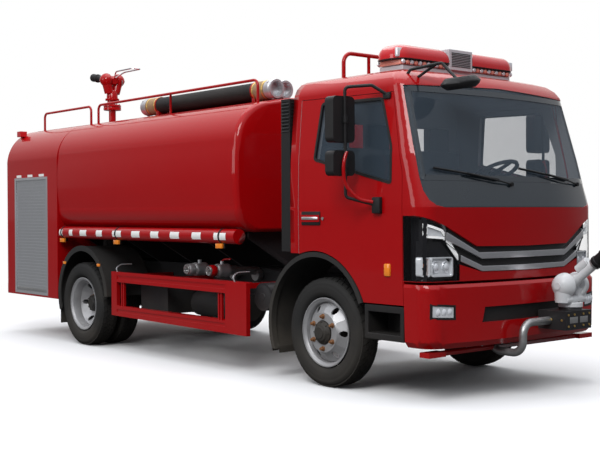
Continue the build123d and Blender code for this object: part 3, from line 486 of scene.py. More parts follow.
def sidePoint(side, back, z, inset=0.0):
    return Vector((side * (levelAt(cabLevels, z)[0] - inset), at(back), z))


def finer(outline, step=0.05):
    points = []
    for (x0, z0), (x1, z1) in zip(outline, outline[1:] + outline[:1]):
        parts = max(1, int(math.hypot(x1 - x0, z1 - z0) / step))
        points += [(x0 + (x1 - x0) * k / parts, z0 + (z1 - z0) * k / parts) for k in range(parts)]
    return points


def placer(place, side):
    return lambda back, z, inset: place(side, back, z, inset)


def mirroredFront(side, levels=cabLevels):
    def place(x, z, inset):
        point = frontPoint(x, z, inset, levels)
        return Vector((side * point.x, point.y, point.z))

    return place


def patch(build, outline, place, insets):
    # a plate that lies on a curved face, between two insets from it
    points = finer(outline)
    count = len(points)
    verts = [place(u, v, insets[0]) for u, v in points] + [place(u, v, insets[1]) for u, v in points]
    faces = [list(range(count)), list(reversed(range(count, 2 * count)))]
    faces += [[k, count + k, count + (k + 1) % count, (k + 1) % count] for k in range(count)]
    build.take(verts, faces)


def band(build, outer, inner, place, insets):
    # a frame between two outlines of the same count
    ways = []
    for outline in (outer, inner):
        ways.append([])
        for k, (x0, z0) in enumerate(outline):
            x1, z1 = outline[(k + 1) % len(outline)]
            length = math.dist(outer[k], outer[(k + 1) % len(outer)])
            parts = max(1, int(length / 0.05))
            ways[-1] += [(x0 + (x1 - x0) * j / parts, z0 + (z1 - z0) * j / parts) for j in range(parts)]
    count = len(ways[0])
    verts = [place(u, v, d) for d in insets for way in ways for u, v in way]
    faces = []
    for k in range(count):
        m = (k + 1) % count
        faces += [[k, m, count + m, count + k], [2 * count + k, 3 * count + k, 3 * count + m, 2 * count + m],
                  [k, 2 * count + k, 2 * count + m, m], [count + k, count + m, 3 * count + m, 3 * count + k]]
    build.take(verts, faces)


def eased(outline, cut=0.04, turns=4):
    # the outline with its corners rounded
    points = []
    for k, corner in enumerate(outline):
        here, before, after = Vector(corner), Vector(outline[k - 1]), Vector(outline[(k + 1) % len(outline)])
        inward, outward = before - here, after - here
        reach = min(cut, inward.length / 2.2, outward.length / 2.2)
        first, last = here + inward.normalized() * reach, here + outward.normalized() * reach
        for j in range(turns + 1):
            t = j / turns
            spot = (1 - t) ** 2 * first + 2 * t * (1 - t) * here + t * t * last
            points.append((spot.x, spot.y))
    return points


def shrunk(outline, amount):
    # each corner moved inwards along its bisector
    points = []
    area = sum(a[0] * b[1] - b[0] * a[1] for a, b in zip(outline, outline[1:] + outline[:1]))
    turnSign = 1 if area > 0 else -1
    for k, corner in enumerate(outline):
        here, before, after = Vector(corner), Vector(outline[k - 1]), Vector(outline[(k + 1) % len(outline)])
        first, last = (here - before).normalized(), (after - here).normalized()
        normals = [Vector((-v.y, v.x)) * turnSign for v in (first, last)]
        way = (normals[0] + normals[1])
        way /= max(way.length_squared / 2, 0.3)
        points.append(tuple(here + way * amount))
    return points


# The CAD nodes that keep their own form
looks = (
    # node, look, bevel
    ("front_panel", "red", 0.0), ("front_bumper", "red", 0.0), ("grille_screen", "blackPlastic", 0.0),
    ("bumper_grille", "blackPlastic", 0.0), ("grille_bars", "chrome", 0.004), ("cab_glass", "glass", 0.0),
    ("door_glass_right", "glass", 0.0), ("door_glass_left", "glass", 0.0), ("cowl_panel", "glossBlack", 0.0),
    ("cab_steps", "blackPlastic", 0.006), ("light_bar_base", "speaker", 0.006),
    ("front_view_mirror", "blackPlastic", 0.008), ("mirror_right", "blackPlastic", 0.008),
    ("mirror_left", "blackPlastic", 0.008), ("snorkel", "blackPlastic", 0.004), ("water_tank", "red", 0.0),
    ("manhole_lid", "red", 0.004), ("pump_body", "red", 0.004), ("side_tubes", "red", 0.005),
    ("underrun_guard_right", "red", 0.003), ("underrun_guard_left", "red", 0.003), ("rear_bar", "red", 0.006),
    ("mudguards", "mudguard", 0.0), ("grab_rails", "red", 0.0), ("tail_lamps", "redLens", 0.005),
    ("underbody_tanks", "chassis", 0.012), ("chassis_frame", "chassis", 0.0), ("engine_block", "iron", 0.02),
    ("front_axle", "chassis", 0.0), ("rear_axle", "chassis", 0.0), ("knuckle_right", "chassis", 0.003),
    ("knuckle_left", "chassis", 0.003), ("front_monitor_bracket", "chassis", 0.004),
)
cutsOf = {"front_panel": cabCuts, "cab_glass": cabCuts, "front_bumper": [((0, frontAxleY - 1.07, 1), (0, 1, 0))]}
for node, look, bevel in looks:
    smoothCopy(node, [look], bevel, cutsOf.get(node, ()))


def innerPart(centre, normal):
    # faces that look at the cab's middle carry its lining
    facing = (Vector((0, at(-0.45), 1.75)) - centre).dot(normal)
    half, nose, corner = levelAt(cabLevels, centre.z)
    deep = abs(centre.x) < half - 0.02 and centre.z > 0.8
    return 1 if facing > 0.02 and deep and centre.y > at(nose) + 0.04 else 0


for node in ("cab_shell", "door_right", "door_left"):
    smoothCopy(node, ["red", "lining"], 0.0, cabCuts, innerPart)


def interiorPart(centre, normal):
    return 1 if centre.y > at(-0.45) else 0


smoothCopy("cab_interior", ["trim", "cloth"], 0.02, (), interiorPart, 3)


def lampPart(centre, normal):
    # outward faces are clear, the rest is the dark housing
    outward = normal.y < -0.5 or (abs(normal.x) > 0.5 and normal.x * centre.x > 0)
    atSkin = centre.y < at(-1.0) - 0.2 or abs(centre.x) > 1.06
    return 0 if outward and atSkin else 1


smoothCopy("front_lamps", ["lensGlass", "lampBlack"], 0.0, (), lampPart)


def pipePart(centre, normal):
    return 1 if centre.z < 0.44 and abs(centre.x) > 0.28 else 0


smoothCopy("pipework", ["steel", "red"], 0.003, (), pipePart)
print("CAD forms dressed")

xAxis, yAxis, zAxis = (1, 0, 0), (0, 1, 0), (0, 0, 1)

# Wheels
tyreSpec = {"outer": 0.4645, "bore": 0.2955, "lugs": 44}


def addTyre(build, xs, side, axleY):
    # sidewalls with raised rings, and a tread of ribs cut by slanted grooves
    first, last = xs
    width = last - first
    middle = (first + last) / 2
    outer, bore = tyreSpec["outer"], tyreSpec["bore"]
    ring = [
        (0.055, bore), (0.024, bore + 0.012), (0.006, bore + 0.035), (0.003, bore + 0.05), (0.001, bore + 0.075),
        (0.001, bore + 0.1), (0.004, bore + 0.108), (0.003, bore + 0.114), (0.006, outer - 0.04),
        (0.014, outer - 0.028), (0.026, outer - 0.016), (0.034, outer - 0.012),
    ]
    outline = [(first + dx, r) for dx, r in ring] + [(last - dx, r) for dx, r in reversed(ring)]
    build.index = 0
    build.lathe([(side * px, r) for px, r in outline], (0, axleY, axleZ), xAxis, steps=96)
    rows = ((-0.5, -0.3, 0.0), (-0.275, -0.1, 0.5), (-0.078, 0.078, 0.25), (0.1, 0.275, 0.75), (0.3, 0.5, 0.1))
    count = tyreSpec["lugs"]
    inner = outer - 0.022
    for low, high, shift in rows:
        x0, x1 = (middle + share * (width - 0.055) for share in (low, high))
        for k in range(count):
            verts = []
            for px, slant in ((x0, -0.12), (x1, 0.12)):
                for edge in (0.06, 0.94):
                    a = 2 * math.pi * (k + shift + edge + slant) / count
                    for radius in (inner, outer - (0.006 if abs(px - middle) > width * 0.36 else 0.0)):
                        verts.append(Vector((side * px, axleY + radius * math.cos(a), axleZ + radius * math.sin(a))))
            build.take(verts, [(0, 1, 3, 2), (4, 6, 7, 5), (0, 4, 5, 1), (2, 3, 7, 6), (1, 5, 7, 3), (0, 2, 6, 4)])


def addHoledDisc(build, cone, holes, steps, axleY, side, thick):
    # a dished disc between two (x, radius) ends with round hand holes, made as a ring of cells
    (xIn, rIn), (xOut, rOut) = cone
    holeRadius, holeAt, holeCount = holes

    def point(radius, angle, lift):
        t = (radius - rIn) / (rOut - rIn)
        px = xIn + (xOut - xIn) * t + lift
        return Vector((side * px, axleY + radius * math.cos(angle), axleZ + radius * math.sin(angle)))

    perHole = steps // holeCount
    half = math.pi / holeCount
    for h in range(holeCount):
        centre = 2 * math.pi * h / holeCount
        rim, edge = [], []
        rim, edge = [], []
        for k in range(perHole):
            a = 2 * math.pi * k / perHole
            dx, dy = math.cos(a), math.sin(a)
            rim.append((holeAt + holeRadius * dx, centre + holeRadius * 0.86 * dy / holeAt))
            # the cell's outer border in the same order
            reach = min(((rOut - holeAt) if dx > 0 else (holeAt - rIn)) / max(abs(dx), 1e-6),
                        half * holeAt / max(abs(dy), 1e-6))
            edge.append((holeAt + dx * reach, centre + dy * reach / holeAt))
        corners = [(rOut, centre + half), (rIn, centre + half), (rIn, centre - half), (rOut, centre - half)]
        for cr, ca in corners:
            best = min(range(perHole), key=lambda i: abs(edge[i][0] - cr) + abs(edge[i][1] - ca) * holeAt)
            edge[best] = (cr, ca)
        verts = [point(r, a, lift) for lift in (0.0, -thick) for r, a in rim + edge]
        faces = []
        n = perHole
        for k in range(n):
            m = (k + 1) % n
            faces += [[k, m, n + m, n + k], [2 * n + k, 3 * n + k, 3 * n + m, 2 * n + m],
                      [k, 2 * n + k, 2 * n + m, m]]
        build.take(verts, faces)


def addNuts(build, count, ringRadius, px, side, axleY, size=0.016):
    for k in range(count):
        a = 2 * math.pi * (k + 0.5) / count
        spot = Vector((side * px, axleY + ringRadius * math.cos(a), axleZ + ringRadius * math.sin(a)))
        out = Vector((side, 0, 0))
        build.rod(spot - out * 0.002, spot + out * 0.006, size * 1.35, 16)
        build.rod(spot, spot + out * 0.026, size, 6)
        build.rod(spot, spot + out * 0.038, size * 0.5, 10)


wheelSpecs = (
    {
        "tyreName": "frontTyre", "rimName": "frontRim", "body": "front_wheel_", "tyreNode": "front_tyre_",
        "rimNode": "front_rim_", "back": 0, "tyres": ((0.8, 1.031),),
        "barrels": (((0.836, 0.2945), (0.836, 0.262), (0.842, 0.256), (0.90, 0.25), (0.955, 0.256), (0.99, 0.262),
                     (1.004, 0.277), (1.008, 0.286), (1.013, 0.286), (1.0125, 0.2945), (1.0, 0.294), (0.99, 0.286),
                     (0.97, 0.268), (0.9, 0.262), (0.86, 0.268), (0.845, 0.2945)),),
        "disc": ((1.028, 0.172), (0.958, 0.252)), "holes": (0.03, 0.212, 6),
        "face": ((1.027, 0.0995), (1.033, 0.104), (1.033, 0.168), (1.027, 0.174), (1.015, 0.173), (1.015, 0.0995)),
        "drum": ((0.884, 0.045), (0.884, 0.17), (0.96, 0.17), (0.99, 0.13), (1.02, 0.1), (1.02, 0.045)),
        "hub": ((1.0, 0.0), (1.0, 0.099), (1.045, 0.098), (1.052, 0.09), (1.056, 0.082), (1.062, 0.078),
                (1.072, 0.07), (1.078, 0.052), (1.0845, 0.048), (1.0845, 0.0)),
        "studs": (8, 1.05, 0.087, 0.006), "nuts": (0.1365, 1.033),
    },
    {
        "tyreName": "rearTyres", "rimName": "rearRims", "body": "rear_wheels_", "tyreNode": "rear_tyres_",
        "rimNode": "rear_rims_", "back": wheelbase, "tyres": ((0.67, 0.902), (0.943, 1.175)),
        "barrels": (((0.69, 0.2945), (0.69, 0.262), (0.74, 0.252), (0.88, 0.252), (0.905, 0.26), (0.905, 0.2945),
                     (0.88, 0.27), (0.72, 0.27)),
                    ((0.942, 0.2945), (0.942, 0.262), (0.99, 0.252), (1.1, 0.252), (1.135, 0.262), (1.147, 0.276),
                     (1.151, 0.286), (1.156, 0.286), (1.155, 0.2945), (1.142, 0.294), (1.13, 0.285), (1.1, 0.266),
                     (0.97, 0.266), (0.955, 0.2945))),
        "disc": ((0.955, 0.165), (1.045, 0.252)), "holes": (0.03, 0.208, 6),
        "face": ((0.94, 0.1), (0.955, 0.104), (0.955, 0.166), (0.94, 0.166)),
        "drum": ((0.72, 0.057), (0.72, 0.19), (0.9, 0.19), (0.92, 0.15), (0.941, 0.12), (0.941, 0.057)),
        "hub": ((0.93, 0.0), (0.93, 0.1), (1.0, 0.098), (1.035, 0.09), (1.045, 0.083), (1.052, 0.06),
                (1.0595, 0.055), (1.0595, 0.0)),
        "studs": (10, 1.042, 0.078, 0.007), "nuts": (0.136, 0.955),
    },
)
discSteps, discThick = 144, 0.012


def addWheels(side, name, spec):
    # tyres, then rims with their drum, hub, studs and nuts
    axleY = at(spec["back"])
    tyres, rim = Builder(), Builder()

    def turned(profile, steps, close=True):
        rim.lathe([(side * px, r) for px, r in profile], (0, axleY, axleZ), xAxis, steps, close)

    for xs in spec["tyres"]:
        addTyre(tyres, xs, side, axleY)
    piece(spec["tyreName"] + name, tyres, ["tyre"], spec["body"] + name, (spec["tyreNode"] + name,))
    for barrel in spec["barrels"]:
        turned(barrel, 96)
    addHoledDisc(rim, spec["disc"], spec["holes"], discSteps, axleY, side, discThick)
    turned(spec["face"], 72)
    rim.index = 1
    turned(spec["drum"], 48)
    turned(spec["hub"], 48, False)
    count, px, ringRadius, radius = spec["studs"]
    for k in range(count):
        a = 2 * math.pi * k / count
        spot = Vector((side * px, axleY + ringRadius * math.cos(a), axleZ + ringRadius * math.sin(a)))
        rim.rod(spot, spot + Vector((side * 0.012, 0, 0)), radius, 6)
    rim.index = 2
    ringRadius, px = spec["nuts"]
    addNuts(rim, 6, ringRadius, px, side, axleY)
    piece(spec["rimName"] + name, rim, ["rim", "hub", "rust"], spec["body"] + name, (spec["rimNode"] + name,))


for side, name in ((-1, "right"), (1, "left")):
    for spec in wheelSpecs:
        addWheels(side, name, spec)
print("wheels made")

# Windscreen's black border, then each door's window seal, handle and lock, and the wipers
screenSide = [(1.035, 1.722), (1.043, 1.8), (1.036, 2.0), (1.008, 2.468)]
trimPiece = Builder()
outerScreen = eased(screenSide + [(-x, z) for x, z in reversed(screenSide)], 0.06)
band(trimPiece, outerScreen, shrunk(outerScreen, 0.045), frontPoint, (0.0055, 0.0075))
piece("screenBorder", trimPiece, ["glossBlack"], "truck")
opening = eased([(-0.865, 1.705), (0.05, 1.925), (-0.015, 2.395), (-0.735, 2.38), (-0.865, 1.99)], 0.03)
for side, name in ((-1, "right"), (1, "left")):
    seal = Builder()
    band(seal, shrunk(opening, -0.01), shrunk(opening, 0.012), placer(sidePoint, side), (-0.003, 0.018))
    seal.box((side * 1.078, side * 1.099), (at(-0.035), at(0.205)), (1.372, 1.488), 0.008)
    seal.index = 1
    seal.box((side * 1.096, side * 1.112), (at(-0.02), at(0.19)), (1.418, 1.444), 0.006)
    seal.index = 2
    seal.rod((side * 1.096, at(-0.07), 1.43), (side * 1.1, at(-0.07), 1.43), 0.013, 20)
    piece("doorTrim" + name, seal, ["blackPlastic", "chrome", "steel"], "door_" + name)

wiperPlaces = (((-0.14, 1.70), (-0.93, 1.80)), ((0.85, 1.715), (0.0, 1.812)))  # pivot and tip, each as x and z
wiper = Builder()
for pivot, tip in wiperPlaces:
    base = frontPoint(pivot[0], pivot[1], -0.012)
    wiper.rod(frontPoint(pivot[0], pivot[1], 0.01), base - Vector((0, 0.012, 0)), 0.017, 16)
    bladeMid = (pivot[0] + (tip[0] - pivot[0]) * 0.62, pivot[1] + (tip[1] - pivot[1]) * 0.62 + 0.02)
    reach = (bladeMid[0] - pivot[0], bladeMid[1] - pivot[1])
    arm = [base] + [frontPoint(pivot[0] + reach[0] * t, pivot[1] + reach[1] * t, -0.035) for t in (0.35, 0.7, 1.0)]
    wiper.pipe(arm, 0.007, 8)
    across, climb = tip[0] - pivot[0], tip[1] - pivot[1]
    blade = []
    for t in (0.18, 0.3, 0.45, 0.6, 0.75, 0.9, 1.0):
        blade.append(frontPoint(pivot[0] + across * t, pivot[1] + climb * t + 0.02, -0.014))
    wiper.pipe(blade, 0.009, 6)
    wiper.pipe([p + Vector((0, 0.008, -0.004)) for p in blade], 0.006, 4)
piece("wipers", wiper, ["blackPlastic"], "truck")

# Headlamps: dark housing, light strip, projector and turn lamp behind the lens
lampShapes = {
    "strip": [(1.045, 1.395), (0.9, 1.345), (0.757, 1.15), (0.757, 1.108), (0.893, 1.272), (1.045, 1.285)],
    "shade": [(1.05, 1.26), (0.885, 1.25), (0.77, 1.11), (0.77, 0.965), (1.05, 0.965)],
}
lamps = Builder()
for side in (-1, 1):
    onFront = mirroredFront(side)
    lamps.index = 0
    lamps.index = 0
    patch(lamps, lampShapes["shade"], onFront, (0.05, 0.055))
    lamps.index = 2
    patch(lamps, [(1.0, 1.005), (1.052, 1.005), (1.052, 1.128), (1.0, 1.128)], onFront, (0.03, 0.034))
    patch(lamps, [(0.81, 0.995), (0.985, 0.995), (0.985, 1.125), (0.86, 1.125), (0.81, 1.06)], onFront, (0.036, 0.04))
    lamps.index = 1
    band(lamps, lampShapes["strip"], shrunk(lampShapes["strip"], 0.018), onFront, (0.012, 0.022))
    lamps.index = 2
    patch(lamps, shrunk(lampShapes["strip"], 0.02), onFront, (0.026, 0.03))
    for px, wide in ((0.9, 0.2), (1.03, 0.05)):
        frameOutline = [(px - wide / 2, 0.985), (px + wide / 2, 0.985), (px + wide / 2, 1.135),
                        (px - wide / 2, 1.135)]
        lamps.index = 2
        band(lamps, eased(frameOutline, 0.02), shrunk(eased(frameOutline, 0.02), 0.01), onFront, (0.02, 0.05))
    for px in (0.852, 0.948):
        spot = onFront(px, 1.06, 0.03)
        lamps.index = 2
        lamps.lathe([(0.0, 0.043), (0.004, 0.046), (0.03, 0.03), (0.026, 0.03)], spot, yAxis, 32)
        lamps.index = 3
        lamps.spin([(-0.006, 0.0), (-0.003, 0.018), (0.006, 0.028), (0.02, 0.032)], spot, yAxis, 32)
    lamps.index = 4
    spot = onFront(1.03, 1.06, 0.03)
    lamps.box(about(spot.x, 0.018), (spot.y + 0.01, spot.y + 0.03), (1.0, 1.12), 0.005)
piece("lampInsides", lamps, ["lampBlack", "lampGlow", "reflector", "clearLens", "amber"], "truck")

# Bumper lamps and slot
fogs = Builder()
for side in (-1, 1):
    onBumper = mirroredFront(side, bumperLevels)
    fogs.index = 0
    fogOutline = [(0.84, 0.668), (1.03, 0.678), (1.03, 0.772), (0.84, 0.757)]
    band(fogs, shrunk(fogOutline, -0.012), shrunk(fogOutline, 0.002), onBumper, (-0.002, 0.012))
    fogs.index = 1
    patch(fogs, shrunk(fogOutline, 0.004), onBumper, (0.004, 0.008))
    for px in (0.872, 0.925, 0.978):
        spot = onBumper(px, 0.718, 0.003)
        fogs.index = 2
        fogs.spin([(-0.004, 0.0), (-0.001, 0.02), (0.004, 0.03), (0.006, 0.0)], spot, yAxis, 28)
piece("fogInsides", fogs, ["blackPlastic", "reflector", "clearLens"], "truck")

# Amber side markers, then each door's mirror glass, mounts and red tie
markers = Builder()
for side in (-1, 1):
    spot = sidePoint(side, -0.825, 1.033)
    markers.box(about(spot.x, 0.014), about(spot.y, 0.033), (0.978, 1.078), 0.011)
    for back in (1.29, 3.16, 4.38):
        markers.box((side * 1.165, side * 1.19), about(at(back), 0.05), (1.15, 1.195), 0.004)
    for back in (3.52, 4.3):
        markers.box((side * 1.185, side * 1.205), about(at(back), 0.03), (0.9, 0.93), 0.004)
piece("sideMarkers", markers, ["amber"], "truck")
for side, name in ((-1, "right"), (1, "left")):
    glass = Builder()
    for zs in ((2.055, 2.38), (1.79, 1.95)):
        glass.index = 0
        glass.box((side * 1.168, side * 1.372), (at(-0.432), at(-0.4285)), zs, 0.0)
        glass.index = 1
        glass.rod((side * 1.27, at(-0.543), (zs[0] + zs[1]) / 2 - 0.03),
                  (side * 1.27, at(-0.543), (zs[0] + zs[1]) / 2 + 0.03), 0.021, 20)
    glass.index = 2
    glass.pipe([(side * 1.262, at(-0.548), 1.96), (side * 1.3, at(-0.55), 1.86), (side * 1.29, at(-0.55), 1.7),
                (side * 1.2, at(-0.62), 1.58), (side * 1.12, at(-0.7), 1.56)], 0.015, 12, 0.07)
    glass.index = 1
    glass.box((side * 1.0885, side * 1.125), (at(-0.775), at(-0.685)), (1.47, 1.6), 0.01)
    glass.box((side * 1.04, side * 1.062), (at(-0.83), at(-0.75)), (2.37, 2.42), 0.006)
    piece("mirrorFace" + name, glass, ["mirrorGlass", "blackPlastic", "red"], "door_" + name)

# Shutters: satin slats over a backing sheet, with a pull bar and frames
backing = Builder()
for side in (-1, 1):
    backing.index = 0
    backing.box((side * 1.178, side * 1.186), (at(4.74), at(5.553)), (0.54, 1.885))
    backing.index = 1
    backing.box((side * 1.186, side * 1.196), (at(4.74), at(5.553)), (0.54, 0.585), 0.004)
backing.index = 0
backing.box((-0.47, 0.47), (at(5.781), at(5.789)), (0.64, 1.885))
backing.index = 1
backing.box((-0.47, 0.47), (at(5.789), at(5.797)), (0.64, 0.685), 0.004)
piece("shutterBacks", backing, ["aluminium", "steel"], "truck", ("roller_shutters",))
slatPitch = 0.0372
for name, side in (("Right", -1), ("Left", 1)):
    grownRow("shutterSlats" + name, 35, (side * 1.188, at(5.1465), 0.604), slatPitch, (0.008, 0.811, 0.032),
             (0, side * 0.12, 0), "aluminium")
grownRow("shutterSlatsRear", 32, (0, at(5.7905), 0.704), slatPitch, (0.938, 0.008, 0.032), (-0.12, 0, 0), "aluminium")
frames = Builder()
for side in (-1, 1):
    def onBox(back, z, inset, side=side):
        return Vector((side * (1.2 - inset), at(back), z))

    opening = [(4.74, 0.54), (5.553, 0.54), (5.553, 1.885), (4.74, 1.885)]
    band(frames, shrunk(opening, -0.03), shrunk(opening, 0.0), onBox, (-0.005, 0.02))
piece("shutterFrames", frames, ["aluminium"], "truck")

# Bolts and nuts in rings
rings = (
    # name, body, count, ring radius, bolt radius, depth, centre
    ("riserBolts", "truck", 8, 0.093, 0.011, 0.022, (0, at(5.27), 2.838)),
    ("headBolts", "roof_monitor_head", 8, 0.093, 0.011, 0.022, (0, at(5.27), 2.874)),
    ("turretBolts", "front_monitor_turret", 8, 0.082, 0.008, 0.012, (0.29, at(-1.545), 0.748)),
    ("lidBolts", "manhole_lid", 12, 0.235, 0.009, 0.012, (0.12, at(2.7), 2.698)),
)
for name, body, count, ringRadius, boltRadius, depth, centre in rings:
    grown(ringTree, name, body, {"Count": count, "Ring Radius": ringRadius, "Bolt Radius": boltRadius,
                                 "Bolt Depth": depth, "Sides": 6, "Centre": centre, "Material": paint["steel"]})

# Suction hoses: ribbed rubber with wrapped ends, bright bands and open couplings
hoseSpec = {
    "rows": ((-0.64, 2.655, 1.09, 3.4), (-0.4, 2.675, 1.25, 3.56)),  # x, z, and both ends along the truck
    "wrapped": 0.3, "ribStep": 0.022, "ribLow": 0.079, "ribHigh": 0.085, "claws": 3,
}
hoses = Builder()
wrapped, low, high = (hoseSpec[key] for key in ("wrapped", "ribLow", "ribHigh"))
for px, pz, first, last in hoseSpec["rows"]:
    origin = (px, at(first), pz)
    length = last - first
    ribs = [(wrapped, 0.078)]
    count = int((length - 2 * wrapped) / hoseSpec["ribStep"])
    for k in range(count):
        along = wrapped + (length - 2 * wrapped) * k / count
        ribs += [(along, low), (along + 0.005, high), (along + 0.013, high), (along + 0.018, low)]
    ribs += [(length - wrapped, low)]
    hoses.index = 0
    hoses.spin(ribs, origin, yAxis, 28)
    for end in (0, 1):
        def along(d):
            return d if end == 0 else length - d

        hoses.index = 1
        wrap = [(along(0.31), 0.078), (along(0.3), 0.089), (along(0.09), 0.091), (along(0.08), 0.078)]
        hoses.spin(wrap, origin, yAxis, 32)
        hoses.index = 2
        for spot in (0.12, 0.27):
            hoses.spin([(along(spot), 0.0915), (along(spot + 0.004), 0.094), (along(spot + 0.018), 0.094),
                        (along(spot + 0.022), 0.0915)], origin, yAxis, 32)
        hoses.index = 3
        cup = [(along(0.1), 0.07), (along(0.1), 0.093), (along(0.075), 0.097), (along(0.03), 0.097),
               (along(0.02), 0.09), (along(0.0), 0.09), (along(0.0), 0.07), (along(0.07), 0.068), (along(0.07), 0.0)]
        hoses.spin(cup, origin, yAxis, 36)
        for k in range(hoseSpec["claws"]):
            a = 2 * math.pi * k / hoseSpec["claws"] + 0.4
            spot = Vector((px + 0.09 * math.cos(a), at(first + along(0.045)), pz + 0.09 * math.sin(a)))
            hoses.box(about(spot.x, 0.012), about(spot.y, 0.014), about(spot.z, 0.012), 0.004)
    hoses.index = 4
    for back in (first + wrapped, last - wrapped):
        hoses.box(about(px, 0.06), about(at(back), 0.02), (2.535, pz - 0.06), 0.004)
        hoses.lathe([(-0.012, 0.089), (0.012, 0.089), (0.012, 0.092), (-0.012, 0.092)], (px, at(back), pz), (0, 1, 0),
                    32)
piece("suctionHoses", hoses, ["hose", "tan", "gold", "aluminium", "red"], "truck", ("suction_hoses",))

# Air intake with its louvres
for name, spot, size, turn in (("intakeLouvres", (-1.071, at(0.445), 2.19), (0.006, 0.1, 0.016), (0, 0.5, 0)),
                               ("intakeLouvresFront", (-0.99, at(0.384), 2.19), (0.13, 0.006, 0.016), (0.5, 0, 0))):
    grownRow(name, 9, spot, 0.03, size, turn, "blackPlastic")

# White reflective marks along the tank's tube and over the shutter
tube = {"x": 1.135, "z": 1.262, "markRadius": 0.0712, "markAngle": 28, "markSteps": 6, "clamps": (1.27, 3.15, 4.37)}
marks = Builder()
steps = tube["markSteps"]
for side in (-1, 1):
    for first, last in ((1.16, 1.35), (1.56, 1.71), (1.93, 2.09), (2.3, 2.45), (2.66, 2.82), (3.03, 3.21),
                        (3.43, 3.56), (3.78, 3.93), (4.1, 4.18), (4.34, 4.415)):
        a0, a1 = (math.radians(sign * tube["markAngle"]) for sign in (-1, 1))
        verts = []
        for y in (at(first), at(last)):
            for k in range(steps + 1):
                a = a0 + (a1 - a0) * k / steps
                verts.append(Vector((side * (tube["x"] + tube["markRadius"] * math.cos(a)), y,
                                     tube["z"] + tube["markRadius"] * math.sin(a))))
        marks.take(verts, [[k, k + 1, steps + 2 + k, steps + 1 + k] for k in range(steps)])
    for first in (4.8, 5.1, 5.4):
        marks.box((side * 1.1995, side * 1.2015), (at(first), at(first + 0.13)), (1.92, 1.95))
piece("whiteMarks", marks, ["white"], "truck")
clamps = Builder()
for side in (-1, 1):
    for back in tube["clamps"]:
        clamps.lathe([(-0.012, 0.0705), (-0.012, 0.0745), (0.012, 0.0745), (0.012, 0.0705)],
                     (side * tube["x"], at(back), tube["z"]), yAxis, 36)
        clamps.box((side * 1.12, side * 1.135), about(at(back), 0.012), (1.155, 1.195), 0.003)
        clamps.box((side * 1.165, side * 1.168), about(at(back), 0.05), (1.15, 1.2))
piece("tubeClamps", clamps, ["blackPlastic"], "truck")

# Light bar: domed red lenses over clear skirts, with rounded outer ends
def roundedPlan(x0, x1, y0, y1, outerSide, radius, steps=8):
    # a plan whose corners on the outer side are round, counter-clockwise
    points = []
    corners = ((x1, y0, outerSide > 0, -90), (x1, y1, outerSide > 0, 0), (x0, y1, outerSide < 0, 90),
               (x0, y0, outerSide < 0, 180))
    for px, py, isRound, begin in corners:
        if not isRound:
            points.append((px, py))
            continue
        cx = px - radius if px == x1 else px + radius
        cy = py - radius if py == y1 else py + radius
        for k in range(steps + 1):
            a = math.radians(begin + 90 * k / steps)
            points.append((cx + radius * math.cos(a), cy + radius * math.sin(a)))
    return points


def stackPlans(build, plans):
    # skins a stack of plans of the same count: each a (height, outline) pair
    count = len(plans[0][1])
    verts = [Vector((px, py, z)) for z, outline in plans for px, py in outline]
    faces = [list(reversed(range(count))), [(len(plans) - 1) * count + k for k in range(count)]]
    for level in range(len(plans) - 1):
        for k in range(count):
            m = (k + 1) % count
            faces.append([level * count + k, level * count + m, (level + 1) * count + m, (level + 1) * count + k])
    build.take(verts, faces)


bar = Builder()
for outerSide, x0, x1 in ((-1, -0.75, -0.152), (1, 0.152, 0.75)):
    plan = roundedPlan(x0, x1, at(-0.64), at(-0.31), outerSide, 0.119)
    bar.index = 0
    dome = [(2.745, 0.002), (2.775, 0.003), (2.8, 0.008), (2.825, 0.02), (2.845, 0.038), (2.86, 0.062), (2.867, 0.09)]
    stackPlans(bar, [(z, shrunk(plan, d)) for z, d in dome])
    bar.index = 1
    stackPlans(bar, [(z, shrunk(plan, d)) for z, d in ((2.691, 0.012), (2.7, 0.004), (2.742, 0.002))])
    bar.index = 2
    stackPlans(bar, [(z, plan) for z in (2.7415, 2.7465)])
    for k in range(5):
        x = x0 + (x1 - x0) * (k + 0.5) / 5
        bar.index = 3
        bar.box(about(x, 0.05), (at(-0.6), at(-0.57)), (2.755, 2.83), 0.004)
piece("lightBar", bar, ["redLens", "lensGlass", "blackPlastic", "reflector"], "truck", ("light_bar_lenses",))
lampRows = Builder()
for outerSide in (-1, 1):
    for k in range(11):
        x = outerSide * (0.19 + 0.05 * k)
        for back, way in ((-0.628, 1), (-0.322, -1)):
            dish = [(0.0, 0.0), (0.003, 0.016), (0.012, 0.021), (0.016, 0.018), (0.03, 0.0)]
            lampRows.index = k % 2
            lampRows.spin(dish, (x, at(back), 2.717), (0, way, 0), 16)
    lampRows.index = 1
    lampRows.box((outerSide * 0.16, outerSide * 0.7), (at(-0.595), at(-0.355)), (2.695, 2.738), 0.004)
piece("barLamps", lampRows, ["reflector", "rosy"], "truck")
grownRow("speakerSlots", 9, (0, at(-0.6365), 2.725), 0.014, (0.24, 0.004, 0.006), (0, 0, 0), "blackPlastic")

